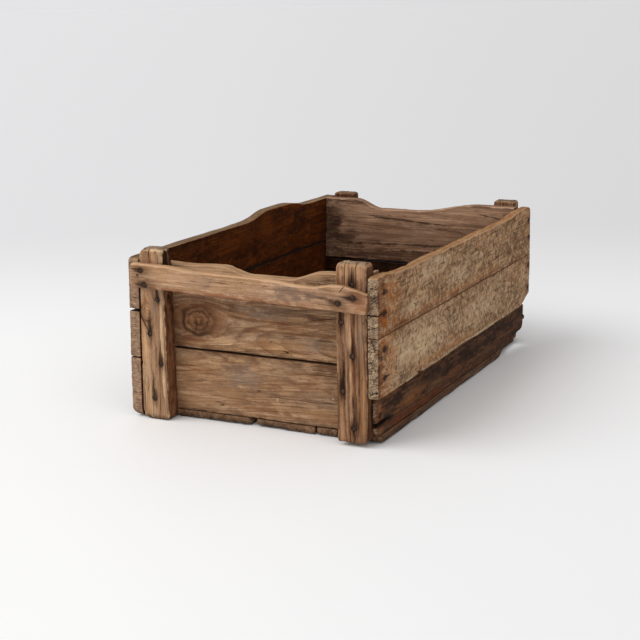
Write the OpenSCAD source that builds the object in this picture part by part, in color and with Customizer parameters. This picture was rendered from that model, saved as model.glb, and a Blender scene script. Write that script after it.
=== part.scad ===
// Old nailed farm crate with a handle rail across each end.
// X runs across the crate, Y along it and Z up. The origin is on the ground, under the middle.
// The front end is at -Y. The right side is at +X.

/* [Crate] */
// Length over the side boards
crate_length = 610; // [480:1:760]
// Width over both sides, measured at the floor
crate_width = 371.5; // [300:0.5:460]
// Lean of the left side inwards as it rises, in degrees
left_lean = 1.5; // [0:0.1:3]

/* [Floor] */
// Thickness of the floor boards
floor_thick = 11.5; // [8:0.5:16]
// Gap between two floor boards
floor_gap = 1.5; // [0.5:0.5:4]
// Wide gap between the first two floor boards
floor_wide_gap = 6; // [1:0.5:10]
// Width of the second floor board, right of the wide gap
floor_second_w = 90; // [60:1:110]
// Width of the third, narrow floor board
floor_third_w = 32; // [20:1:50]
// Width of the fourth floor board, under the right side
floor_fourth_w = 61; // [50:1:80]
// Play between the floor and the leaning left side
floor_side_gap = 1; // [0.5:0.5:3]

/* [End boards] */
// Thickness of the end boards
end_thick = 18; // [14:0.5:24]
// Height of the front lower end board
front_low_h = 86; // [70:1:110]
// Height of the front upper end board
front_up_h = 118; // [100:1:126]
// Height of the rear lower end board
rear_low_h = 109; // [90:1:120]
// Height of the rear upper end board
rear_up_h = 102; // [90:1:110]
// Open seam between the two boards of an end
end_seam = 2; // [0.5:0.5:4]
// Depth of the worn scoop in the front upper board
front_scoop = 10; // [4:0.5:16]
// Depth of the worn scoop in the rear upper board
rear_scoop = 14.5; // [4:0.5:18]

/* [Side boards] */
// Thickness of the left side boards
left_thick = 17; // [14:0.5:22]
// Thickness of the two pale right side boards
right_thick = 15; // [12:0.5:20]
// Thickness of the dark lower right board
right_low_thick = 9; // [6:0.5:12]
// Height of the lower left board
left_low_h = 85; // [70:1:100]
// Height of the middle left board
left_mid_h = 63; // [50:1:75]
// Height of the upper left board
left_up_h = 72; // [60:1:80]
// Height of the dark lower right board
right_low_h = 51; // [40:1:60]
// Height of the middle right board
right_mid_h = 79; // [65:1:90]
// Height of the upper right board
right_up_h = 77; // [65:1:85]
// Open seam between two side boards
side_seam = 2; // [0.5:0.5:4]
// Distance that the dark board stops short of the crate's ends
right_low_setback = 9; // [2:1:20]
// Rise of the unworn stretch of the left side's top edge
left_top_rise = 10; // [2:0.5:14]
// Depth of wear along the right side's top edge
right_top_wear = 5.5; // [1:0.5:8]

/* [Posts] */
// Thickness of the posts
post_thick = 24; // [18:0.5:30]
// Width of the front left post
front_left_w = 37.5; // [28:0.5:42]
// Width of the front right post
front_right_w = 43; // [34:1:50]
// Width of the rear left post
rear_left_w = 36; // [28:1:42]
// Width of the rear right post
rear_right_w = 35; // [28:1:42]
// Height of the front post tops above the ground
front_post_top = 237.5; // [220:0.5:250]
// Height of the rear post tops above the ground
rear_post_top = 231.5; // [218:0.5:245]
// Height of the right front post's foot above the ground
front_right_foot = 4.5; // [0.5:0.5:8]
// Height of the other posts' feet above the ground
post_foot = 0.5; // [0.5:0.5:8]
// Gap between the front left post's top and the left side
front_left_post_gap = 0.5; // [0.5:0.5:12]
// Gap between the rear left post's top and the left side
rear_left_post_gap = 7; // [1:0.5:12]
// Gap between the rear right post and the right side
rear_right_post_gap = 6; // [0:0.5:10]

/* [Handle rails] */
// Thickness of a handle rail
rail_thick = 12; // [9:0.5:18]
// Height of a handle rail at its left end
rail_h = 35; // [28:1:42]
// Distance of a rail's ends from the outer faces of the sides
rail_end_inset = 8.5; // [2:0.5:14]
// Depth of the front rail's middle below the tops of the front posts
front_rail_drop = 40.5; // [34:0.5:52]
// Depth of the rear rail's middle below the tops of the rear posts
rear_rail_drop = 45.5; // [36:0.5:54]
// Slope of the front rail, down to the right, in degrees
front_rail_slope = 1.4; // [0:0.1:2]
// Depth of the worn grip in a rail's top edge
rail_grip_wear = 6; // [2:0.5:9]

/* [Nails] */
// Diameter of a nail head
nail_head_d = 7; // [5:0.5:9]
// Thickness of a nail head
nail_head_t = 1.4; // [1:0.1:2]
// Diameter of a nail shank
nail_shank_d = 3.2; // [2.4:0.1:4]
// Length of the nails through the posts and the left side
nail_length = 38; // [34:1:40]
// Length of the nails through the rails, the right side and the floor
short_nail_length = 26; // [22:1:28]
// Depth of a nail head below the surface
nail_sink = 0.3; // [0:0.1:1]
// Clearance around a nail in its hole
nail_clearance = 0.1; // [0.05:0.05:0.3]

/* [Hidden] */
// Spacing of the points along a worn edge
edge_step = 8;
// Facets of a full circle in worn corners, and in the round nails
corner_fn = 32;
nail_fn = 32;
// Length of the shaped point of a nail, and how far a head is domed
nail_point = 5;
nail_dome = 0.5;
// A cut starts this far outside the wood
cut_over = 1;

// Faces that the boards share
end_y = crate_length/2;
board_y = end_y - post_thick;
inner_y = board_y - end_thick;
right_x = crate_width/2;
right_inner_x = right_x - right_thick;
left_foot_x = -crate_width/2;
left_foot_z = left_thick*tan(left_lean);

// Levels of the board edges
floor_top = floor_thick;
front_seam_z = floor_top + front_low_h;
front_up_z = front_seam_z + end_seam;
rear_seam_z = floor_top + rear_low_h;
rear_up_z = rear_seam_z + end_seam;
right_mid_z = floor_top + right_low_h + side_seam;
right_up_z = right_mid_z + right_mid_h + side_seam;
left_mid_z = left_low_h + side_seam;
left_up_z = left_mid_z + left_mid_h + side_seam;

// Places of the posts across the crate
front_left_x = left_inner_x(front_post_top) + front_left_post_gap;
front_right_x = right_inner_x - front_right_w;
rear_left_x = left_inner_x(rear_post_top) + rear_left_post_gap;
rear_right_x = right_inner_x - rear_right_post_gap - rear_right_w;

// Right end of both handle rails
rail_right_x = right_x - rail_end_inset;

// Places of the floor boards across the crate, counted from the right
floor_right_x = right_inner_x + right_low_thick;
floor_fourth_x = floor_right_x - floor_fourth_w;
floor_third_x = floor_fourth_x - floor_gap - floor_third_w;
floor_second_x = floor_third_x - floor_gap - floor_second_w;
floor_first_end = floor_second_x - floor_wide_gap;
floor_first_x = left_inner_x(floor_top) + floor_side_gap;

ENDS = ["front", "rear"];

// Where the inner face of the leaning left side is at height z
function left_inner_x(z) = left_foot_x + left_thick/cos(left_lean) + z*tan(left_lean);

// Level, slope, left end, middle and height at x of the handle rail at an end
function post_top(end) = end == "front" ? front_post_top : rear_post_top;
function rail_level(end) = post_top(end) - (end == "front" ? front_rail_drop : rear_rail_drop);
function rail_slope(end) = end == "front" ? front_rail_slope : 0;
function rail_left_x(end) = left_foot_x + rail_level(end)*tan(left_lean) + rail_end_inset;
function rail_mid_x(end) = (rail_left_x(end) + rail_right_x)/2;
function rail_z(end, x) = rail_level(end) - (x - rail_mid_x(end))*tan(rail_slope(end));

// Smooth step from 0 to 1
function ramp(t) = let(c = min(1, max(0, t))) c*c*(3 - 2*c);

// Wear at place s of an edge. Each stretch of wear is [start, end, run-in, run-out, depth],
// measured from the middle of the board, and a negative depth is wood that stands proud.
function wear_at(s, wear, i = 0) = i >= len(wear) ? 0
    : wear[i][4]*min(ramp((s - wear[i][0])/wear[i][2]), ramp((wear[i][1] - s)/wear[i][3]))
        + wear_at(s, wear, i + 1);

// A round corner as [distance from the end, drop] pairs
function corner(r) = r == 0 ? [[0, 0]]
    : [for (i = [0:corner_fn/4]) let(a = 360*i/corner_fn) [r*(1 - cos(a)), r*(1 - sin(a))]];

function reversed(list) = [for (i = [len(list) - 1:-1:0]) list[i]];

// The drop along one edge from a to b, with a round corner at each end
function edge_line(a, b, wear, r_a, r_b) = concat(
    [for (p = corner(r_a)) [a + p[0], p[1] + wear_at(a + p[0], wear)]],
    len(wear) == 0 ? []
        : [for (s = [a + r_a + edge_step:edge_step:b - r_b - edge_step/2]) [s, wear_at(s, wear)]],
    reversed([for (p = corner(r_b)) [b - p[0], p[1] + wear_at(b - p[0], wear)]])
);

// Face of a board from a to b along its grain and from low to high across it.
// Corner radii run [low at a, high at a, high at b, low at b].
module board_face(a, b, low, high, r = [3, 3, 3, 3], high_wear = [], low_wear = []) {
    low_line = [for (p = edge_line(a, b, low_wear, r[0], r[3])) [p[0], low + p[1]]];
    high_line = [for (p = edge_line(a, b, high_wear, r[1], r[2])) [p[0], high - p[1]]];
    polygon(concat(low_line, reversed(high_line)));
}

// Stands a face drawn along Y and Z up as a board of thickness t, from x towards +X
module side_board(x, t) {
    translate([x, 0, 0]) rotate([90, 0, 90]) linear_extrude(t) children();
}

// Stands a face drawn along X and Z up as a board of thickness t, from y towards +Y
module cross_board(y, t) {
    translate([0, y + t, 0]) rotate([90, 0, 0]) linear_extrude(t) children();
}

// Turns a face so that its grain runs along the second axis
module grain_turned() {
    rotate(90) mirror([0, 1, 0]) children();
}

// Turns the whole left side about its foot
module leaning() {
    translate([left_foot_x, 0, 0]) rotate([0, left_lean, 0]) children();
}

// Puts a front end piece at the rear end when the end is "rear"
module at_end(end) {
    if (end == "rear") mirror([0, 1, 0]) children();
    else children();
}

// A nail driven down from z = 0, with its domed head sunk a little
module nail(length) {
    head_r = nail_head_d/2;
    shank_r = nail_shank_d/2;
    seat = -nail_sink - nail_head_t;
    tip = seat - length;
    rotate_extrude($fn = nail_fn) polygon([
        [0, tip], [shank_r, tip + nail_point], [shank_r, seat], [head_r, seat],
        [head_r, seat + nail_head_t - nail_dome], [head_r/2, -nail_sink], [0, -nail_sink]
    ]);
}

// The hole that a nail leaves, with its seat for the head
module nail_hole(length) {
    seat = -nail_sink - nail_head_t;
    translate([0, 0, seat]) cylinder(d = nail_head_d + 2*nail_clearance, h = cut_over - seat, $fn = nail_fn);
    translate([0, 0, seat - length - nail_clearance])
        cylinder(d = nail_shank_d + 2*nail_clearance, h = length + cut_over, $fn = nail_fn);
}

// Places of the nails: [x, z] on the ends, z on the sides and x under the floor
front_left_mid = front_left_x + front_left_w/2;
front_right_mid = front_right_x + front_right_w/2;
rear_left_mid = rear_left_x + rear_left_w/2;
rear_right_mid = rear_right_x + rear_right_w/2;
left_post_nails = [[8, 168], [-7, 120], [9, 79], [-4, 30]];
right_post_nails = [[-14, 162], [1, 119], [-13, 72], [2, 25]];
// The uppermost nail of a right post, from the post's middle and its top: front, then rear
right_top_nails = [[1, -27], [1, -14]];
left_rail_nails = [[-9, 8], [-4, -11]];
right_rail_nails = [[-12, -5], [8, 3]];
// Nail heights on the left side, two to each board
left_nail_z = [
    18, left_low_h - 23,
    left_mid_z + 22, left_mid_z + left_mid_h - 14,
    left_up_z + 28, left_up_z + left_up_h - 20
];
// Nail heights on the two pale boards of the right side, and on its dark board
pale_nail_z = [
    right_mid_z + 25, right_mid_z + right_mid_h - 17,
    right_up_z + 27, right_up_z + right_up_h - 22
];
dark_nail_z = [floor_top + 28];
// Distance of the right side's nails from the crate's end, into the posts: front, then rear
right_nail_inset = [post_thick - 3, 9];
// Middle of the end boards' thickness, where the left side's and the floor's nails go in
end_nail_y = board_y - end_thick/2;
floor_nail_x = [
    floor_first_x + 46, floor_first_end - 26,
    floor_second_x + 20, floor_second_x + floor_second_w - 22,
    floor_third_x + floor_third_w/2,
    floor_fourth_x + 12, floor_fourth_x + 42
];

function left_post_mid(end) = end == "front" ? front_left_mid : rear_left_mid;
function right_post_mid(end) = end == "front" ? front_right_mid : rear_right_mid;
function right_top_nail(end) = end == "front" ? right_top_nails[0] : right_top_nails[1];

module post_nail_places(end) {
    left_mid = left_post_mid(end);
    right_mid = right_post_mid(end);
    top_nail = right_top_nail(end);
    places = concat(
        [for (p = left_post_nails) [left_mid + p[0], p[1]]],
        [for (p = right_post_nails) [right_mid + p[0], p[1]]],
        [[right_mid + top_nail[0], post_top(end) + top_nail[1]]]
    );
    at_end(end) for (p = places) translate([p[0], -end_y, p[1]]) rotate([90, 0, 0]) children();
}

module rail_nail_places(end) {
    left_mid = left_post_mid(end);
    right_mid = right_post_mid(end);
    places = concat(
        [for (p = left_rail_nails) [left_mid + p[0], rail_z(end, left_mid) + p[1]]],
        [for (p = right_rail_nails) [right_mid + p[0], rail_z(end, right_mid) + p[1]]]
    );
    at_end(end) for (p = places)
        translate([p[0], -end_y - rail_thick, p[1]]) rotate([90, 0, 0]) children();
}

module right_nail_places(x, heights) {
    for (i = [0:1]) at_end(ENDS[i]) for (z = heights)
        translate([x, -end_y + right_nail_inset[i], z]) rotate([0, 90, 0]) children();
}

// The pale boards are nailed from their own face, and the thin dark board from its own
module right_side_nail_places() {
    right_nail_places(right_x, pale_nail_z) children();
    right_nail_places(floor_right_x, dark_nail_z) children();
}

module left_nail_places() {
    leaning() for (end = ENDS) at_end(end) for (z = left_nail_z)
        translate([0, -end_nail_y, z]) rotate([0, -90, 0]) children();
}

module floor_nail_places() {
    for (end = ENDS) at_end(end) for (x = floor_nail_x)
        translate([x, -end_nail_y, 0]) rotate([180, 0, 0]) children();
}

// Floor boards: from x, of width w, with the ends flush with the end boards
module floor_board(x, w, r) {
    difference() {
        linear_extrude(floor_thick) grain_turned() board_face(-board_y, board_y, x, x + w, r);
        floor_nail_places() nail_hole(short_nail_length);
    }
}

module floor_board_1() {
    color("saddlebrown") floor_board(floor_first_x, floor_first_end - floor_first_x, [4, 6, 4, 3]);
}

module floor_board_2() {
    color("peru") floor_board(floor_second_x, floor_second_w, [7, 3, 3, 4]);
}

module floor_board_3() {
    color("saddlebrown") floor_board(floor_third_x, floor_third_w, [3, 3, 2, 2]);
}

// The fourth board sticks out under the right side, and its edge has split away towards the rear
module floor_board_4() {
    split_w = floor_right_x - right_inner_x + 2;
    color("sienna") difference() {
        linear_extrude(floor_thick) grain_turned()
            board_face(-board_y, board_y, floor_fourth_x, floor_right_x, [3, 6, 0, 3],
                high_wear = [[165, board_y + 60, 70, 50, split_w]]);
        floor_nail_places() nail_hole(short_nail_length);
    }
}

// End boards fit between the leaning left side and the upright right side
module end_board(y, low, high, high_wear = []) {
    reach = crate_width/2;
    cross_board(y, end_thick) intersection() {
        board_face(-reach, right_inner_x, low, high, [0, 0, 0, 0], high_wear);
        polygon([
            [left_inner_x(low), low], [right_inner_x, low],
            [right_inner_x, high], [left_inner_x(high), high]
        ]);
    }
}

// Nail holes in an end board: from the posts outside it and from the left side
module end_nail_holes(end) {
    post_nail_places(end) nail_hole(nail_length);
    left_nail_places() nail_hole(nail_length);
}

module front_end_board_lower() {
    color("peru") difference() {
        end_board(-board_y, floor_top, front_seam_z);
        end_nail_holes("front");
        floor_nail_places() nail_hole(short_nail_length);
    }
}

module front_end_board_upper() {
    color("burlywood") difference() {
        end_board(-board_y, front_up_z, front_up_z + front_up_h,
            [[-52, 90, 42, 42, front_scoop], [70, 400, 40, 50, -2.5]]);
        end_nail_holes("front");
    }
}

module rear_end_board_lower() {
    color("saddlebrown") difference() {
        end_board(inner_y, floor_top, rear_seam_z);
        end_nail_holes("rear");
        floor_nail_places() nail_hole(short_nail_length);
    }
}

module rear_end_board_upper() {
    color("rosybrown") difference() {
        end_board(inner_y, rear_up_z, rear_up_z + rear_up_h,
            [[-110, 108, 44, 105, rear_scoop]]);
        end_nail_holes("rear");
    }
}

// Posts stand outside the end boards, from x, with a worn foot and top
module post(end, x, w, foot, top, r) {
    difference() {
        at_end(end) cross_board(-end_y, post_thick) grain_turned()
            board_face(foot, top, x, x + w, r);
        post_nail_places(end) nail_hole(nail_length);
        rail_nail_places(end) nail_hole(short_nail_length);
        right_side_nail_places() nail_hole(short_nail_length);
    }
}

module front_left_post() {
    color("sandybrown") post("front", front_left_x, front_left_w, post_foot, front_post_top, [7, 6, 5, 4]);
}

module front_right_post() {
    color("peru") post("front", front_right_x, front_right_w, front_right_foot, front_post_top, [4, 6, 5, 3]);
}

module rear_left_post() {
    color("peru") post("rear", rear_left_x, rear_left_w, post_foot, rear_post_top, [4, 4, 4, 4]);
}

module rear_right_post() {
    color("sandybrown") post("rear", rear_right_x, rear_right_w, post_foot, rear_post_top, [4, 4, 4, 4]);
}

// Left side boards, drawn upright and then leant inwards together
module left_board(low, high, r, high_wear = []) {
    difference() {
        leaning() side_board(0, left_thick) board_face(-end_y, end_y, low, high, r, high_wear);
        left_nail_places() nail_hole(nail_length);
    }
}

module left_side_board_lower() {
    color("tan") left_board(left_foot_z, left_low_h, [8, 5, 3, 6]);
}

module left_side_board_middle() {
    color("tan") left_board(left_mid_z, left_mid_z + left_mid_h, [3, 5, 3, 3]);
}

module left_side_board_upper() {
    color("burlywood") left_board(left_up_z, left_up_z + left_up_h, [6, 5, 5, 3],
        [[-5, 210, 70, 90, -left_top_rise]]);
}

// Right side boards share their inner face with the end boards' ends
module right_board(t, inset, low, high, r, high_wear = [], low_wear = []) {
    difference() {
        side_board(right_inner_x, t)
            board_face(-end_y + inset, end_y - inset, low, high, r, high_wear, low_wear);
        right_side_nail_places() nail_hole(short_nail_length);
    }
}

// The dark lower board is thin, stops short of both ends and is broken at its lower rear corner
module right_side_board_lower() {
    color("dimgray") right_board(right_low_thick, right_low_setback, floor_top,
        floor_top + right_low_h, [15, 7, 4, 20],
        low_wear = [[225, end_y + 60, 40, 50, 9]]);
}

module right_side_board_middle() {
    color("wheat") right_board(right_thick, 0, right_mid_z, right_mid_z + right_mid_h, [4, 3, 3, 6],
        low_wear = [[255, end_y + 60, 55, 50, 14]]);
}

module right_side_board_upper() {
    color("wheat") right_board(right_thick, 0, right_up_z, right_up_z + right_up_h, [3, 8, 15, 3],
        [[-285, 255, 60, 60, right_top_wear]]);
}

// Handle rails are nailed across the posts, outside them, and cover the side boards' ends
module handle_rail(end, r, high_wear) {
    reach = rail_right_x - rail_mid_x(end);
    difference() {
        at_end(end) cross_board(-end_y - rail_thick, rail_thick)
            translate([rail_mid_x(end), rail_level(end)]) rotate(-rail_slope(end))
                board_face(-reach, reach, -rail_h/2, rail_h/2, r, high_wear);
        rail_nail_places(end) nail_hole(short_nail_length);
    }
}

module front_handle_rail() {
    color("burlywood") handle_rail("front", [4, 8, 5, 3],
        [[-120, 125, 40, 25, rail_grip_wear/2], [40, 130, 40, 35, rail_grip_wear/2], [130, 190, 20, 10, 3]]);
}

module rear_handle_rail() {
    color("burlywood") handle_rail("rear", [4, 6, 6, 4], [[-130, 120, 60, 70, rail_grip_wear]]);
}

module front_rail_nails() {
    color("darkslategray") rail_nail_places("front") nail(short_nail_length);
}

module rear_rail_nails() {
    color("darkslategray") rail_nail_places("rear") nail(short_nail_length);
}

module front_post_nails() {
    color("darkslategray") post_nail_places("front") nail(nail_length);
}

module rear_post_nails() {
    color("darkslategray") post_nail_places("rear") nail(nail_length);
}

module left_side_nails() {
    color("darkslategray") left_nail_places() nail(nail_length);
}

module right_side_nails() {
    color("darkslategray") right_side_nail_places() nail(short_nail_length);
}

module floor_nails() {
    color("darkslategray") floor_nail_places() nail(short_nail_length);
}

floor_board_1();
floor_board_2();
floor_board_3();
floor_board_4();
front_end_board_lower();
front_end_board_upper();
rear_end_board_lower();
rear_end_board_upper();
front_left_post();
front_right_post();
rear_left_post();
rear_right_post();
left_side_board_lower();
left_side_board_middle();
left_side_board_upper();
right_side_board_lower();
right_side_board_middle();
right_side_board_upper();
front_handle_rail();
rear_handle_rail();
front_rail_nails();
rear_rail_nails();
front_post_nails();
rear_post_nails();
left_side_nails();
right_side_nails();
floor_nails();
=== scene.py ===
"""An old nailed farm crate, dressed for its picture: worn boards, rusty nails, a pale studio."""

import logging
import math
from dataclasses import dataclass, field, replace
from enum import Enum
from typing import Dict, List, Optional, Sequence, Tuple, Union

import bpy
import numpy as np
from mathutils import Matrix, Vector


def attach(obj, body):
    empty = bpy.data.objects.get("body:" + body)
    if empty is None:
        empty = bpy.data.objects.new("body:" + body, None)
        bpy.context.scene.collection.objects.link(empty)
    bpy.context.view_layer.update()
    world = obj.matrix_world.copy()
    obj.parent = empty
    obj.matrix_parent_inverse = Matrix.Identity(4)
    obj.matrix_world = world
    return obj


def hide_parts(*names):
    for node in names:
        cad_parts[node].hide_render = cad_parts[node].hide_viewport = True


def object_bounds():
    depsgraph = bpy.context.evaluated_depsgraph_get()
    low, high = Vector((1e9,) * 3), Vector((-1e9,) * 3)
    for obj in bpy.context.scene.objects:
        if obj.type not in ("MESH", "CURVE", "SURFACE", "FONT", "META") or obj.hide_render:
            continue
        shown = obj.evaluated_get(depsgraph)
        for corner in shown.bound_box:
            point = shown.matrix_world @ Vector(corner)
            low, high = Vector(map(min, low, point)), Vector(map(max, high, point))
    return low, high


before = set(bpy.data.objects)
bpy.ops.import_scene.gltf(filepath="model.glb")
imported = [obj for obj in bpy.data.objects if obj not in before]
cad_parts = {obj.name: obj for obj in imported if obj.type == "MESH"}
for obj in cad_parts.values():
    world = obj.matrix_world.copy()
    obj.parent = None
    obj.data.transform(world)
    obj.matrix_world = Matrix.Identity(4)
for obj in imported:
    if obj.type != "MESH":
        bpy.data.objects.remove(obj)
CAD_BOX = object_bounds()

log = logging.getLogger("crate")
MM = 0.001
LEFT_FOOT_X = -185.75
LEFT_LEAN = math.radians(1.5)
RAIL_SLOPE = math.radians(1.4)
CRATE_CENTRE = (Vector(CAD_BOX[0]) + Vector(CAD_BOX[1])) / 2

Plug = Union[bpy.types.NodeSocket, float, Sequence[float]]
Colour = Tuple[float, float, float, float]
Wear = Tuple[float, float, float, float, float]
Place = Tuple[float, float, float]


# Numbers and noise


def tone(code: str) -> Colour:
    """Turns a written colour such as "#9a7455" into the linear one that shaders use."""
    parts = [int(code[i:i + 2], 16) / 255 for i in (1, 3, 5)]
    linear = [c / 12.92 if c <= 0.04045 else ((c + 0.055) / 1.055) ** 2.4 for c in parts]
    return (linear[0], linear[1], linear[2], 1.0)


def ramp(t: np.ndarray) -> np.ndarray:
    """Smooth step from 0 to 1."""
    c = np.clip(t, 0.0, 1.0)
    return c * c * (3 - 2 * c)


def wear_at(s: np.ndarray, wear: Sequence[Wear]) -> np.ndarray:
    """Depth of wear at places along an edge.

    Args:
        s: Places along the edge, in millimetres.
        wear: Stretches of wear, each as start, end, run-in, run-out and depth.

    Returns:
        The depth at each place, negative where wood stands proud.
    """
    depth = np.zeros_like(s)
    for start, end, run_in, run_out, deep in wear:
        depth += deep * np.minimum(ramp((s - start) / run_in), ramp((end - s) / run_out))
    return depth


def grainy(points: np.ndarray, size: Sequence[float], seed: int) -> np.ndarray:
    """Smooth noise from -1 to 1.

    Args:
        points: Rows of coordinates, in millimetres.
        size: How large one lump is along each axis, in millimetres.
        seed: Which noise.

    Returns:
        One value for each row.
    """
    scaled = points / np.asarray(size, float) + seed * 17.31
    cell = np.floor(scaled).astype(np.int64)
    part = scaled - cell
    blend = part * part * (3 - 2 * part)
    total = np.zeros(len(points))
    for corner in range(8):
        shift = np.array([corner & 1, corner >> 1 & 1, corner >> 2 & 1])
        x, y, z = (cell + shift).T
        code = (x * 374761393 + y * 668265263 + z * 987643217 + seed * 144665) & 0xFFFFFFFF
        code = ((code ^ (code >> 13)) * 1274126177) & 0xFFFFFFFF
        code = code ^ (code >> 16)
        value = (code & 0xFFFF) / 32767.5 - 1.0
        weight = np.where(shift == 1, blend, 1 - blend).prod(axis=1)
        total += value * weight
    return total


def spaced(start: float, stop: float, fine: float, coarse: float) -> np.ndarray:
    """Lines across a board, close together at its edges and further apart in its middle.

    Args:
        start: First line, in millimetres.
        stop: Last line, in millimetres.
        fine: Distance between the outermost lines.
        coarse: Distance between the lines in the middle.

    Returns:
        The places of the lines, an even number of gaps.
    """
    steps: List[float] = []
    gap = fine
    while gap < coarse and 2 * (sum(steps) + gap) < stop - start:
        steps.append(gap)
        gap *= 1.4
    run = np.concatenate([[0.0], np.cumsum(steps)])
    pairs = max(1, math.ceil((stop - start - 2 * run[-1]) / coarse / 2))
    middle = np.linspace(start + run[-1], stop - run[-1], 2 * pairs + 1)
    return np.concatenate([start + run[:-1], middle, (stop - run[:-1])[::-1]])


# Meshes


def edit(piece: bpy.types.Object) -> None:
    """Makes a piece the only selected and active object."""
    bpy.ops.object.select_all(action="DESELECT")
    piece.select_set(True)
    bpy.context.view_layer.objects.active = piece


def coordinates(piece: bpy.types.Object) -> np.ndarray:
    """The vertices of a piece as rows."""
    rows = np.zeros(len(piece.data.vertices) * 3)
    piece.data.vertices.foreach_get("co", rows)
    return rows.reshape(-1, 3)


def set_coordinates(piece: bpy.types.Object, rows: np.ndarray) -> None:
    """Moves the vertices of a piece."""
    piece.data.vertices.foreach_set("co", np.ascontiguousarray(rows, np.float32).ravel())
    piece.data.update()


def set_values(piece: bpy.types.Object, name: str, values: np.ndarray) -> None:
    """Stores one value for each vertex of a piece, for its material to read."""
    layer = piece.data.attributes.new(name, "FLOAT", "POINT")
    layer.data.foreach_set("value", np.asarray(values, np.float32))


def face_outwards(piece: bpy.types.Object, weld: float = 0.0) -> None:
    """Turns every face of a closed piece outwards, after welding what lies that close.

    Args:
        piece: The piece.
        weld: How close points are welded. Faces of more than four sides are then split.
    """
    edit(piece)
    bpy.ops.object.mode_set(mode="EDIT")
    bpy.ops.mesh.select_all(action="SELECT")
    if weld:
        bpy.ops.mesh.remove_doubles(threshold=weld)
        bpy.ops.mesh.dissolve_degenerate(threshold=weld)
        bpy.ops.mesh.select_all(action="DESELECT")
        bpy.ops.mesh.select_face_by_sides(number=4, type="GREATER")
        bpy.ops.mesh.quads_convert_to_tris(quad_method="BEAUTY", ngon_method="BEAUTY")
        bpy.ops.mesh.select_all(action="SELECT")
    bpy.ops.mesh.normals_make_consistent(inside=False)
    bpy.ops.object.mode_set(mode="OBJECT")


def block(name: str, lines: Sequence[np.ndarray]) -> bpy.types.Object:
    """Makes a closed block whose faces are cut along given lines.

    Args:
        name: Name of the new object.
        lines: Places of the cuts along each axis, the two outer faces included.

    Returns:
        The block, a primitive cube subdivided along one axis after the other.
    """
    bpy.ops.object.select_all(action="DESELECT")
    bpy.ops.mesh.primitive_cube_add(size=2.0)
    piece = bpy.context.object
    piece.name = name
    piece.data.name = name
    for axis, line in enumerate(lines):
        gaps = len(line) - 1
        for share in (gaps,) if gaps <= 90 else (gaps // 2, 2):
            if share < 2:
                continue
            rows = coordinates(piece)
            pairs = np.zeros(len(piece.data.edges) * 2, np.int64)
            piece.data.edges.foreach_get("vertices", pairs)
            pairs = pairs.reshape(-1, 2)
            along = np.abs(rows[pairs[:, 0], axis] - rows[pairs[:, 1], axis]) > 1e-5
            bpy.ops.object.mode_set(mode="EDIT")
            bpy.ops.mesh.select_mode(type="EDGE")
            bpy.ops.mesh.select_all(action="DESELECT")
            bpy.ops.object.mode_set(mode="OBJECT")
            piece.data.edges.foreach_set("select", along)
            bpy.ops.object.mode_set(mode="EDIT")
            bpy.ops.mesh.subdivide(number_cuts=share - 1)
            bpy.ops.object.mode_set(mode="OBJECT")
    rows = coordinates(piece)
    for axis, line in enumerate(lines):
        place = np.rint((rows[:, axis] + 1) / 2 * (len(line) - 1)).astype(int)
        rows[:, axis] = np.asarray(line)[place]
    set_coordinates(piece, rows)
    return piece


def cut_away(piece: bpy.types.Object, cutters: Sequence[bpy.types.Object]) -> None:
    """Cuts the shapes of some closed objects out of a piece, and removes them."""
    if not cutters:
        return
    bpy.ops.object.select_all(action="DESELECT")
    for cutter in cutters:
        cutter.select_set(True)
    bpy.context.view_layer.objects.active = cutters[0]
    if len(cutters) > 1:
        bpy.ops.object.join()
    tool = bpy.context.view_layer.objects.active
    edit(piece)
    bpy.ops.object.modifier_add(type="BOOLEAN")
    modifier = piece.modifiers[-1]
    modifier.operation = "DIFFERENCE"
    modifier.solver = "MANIFOLD"
    modifier.object = tool
    bpy.ops.object.modifier_apply(modifier=modifier.name)
    bpy.data.objects.remove(tool, do_unlink=True)


# Shader nodes


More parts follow.
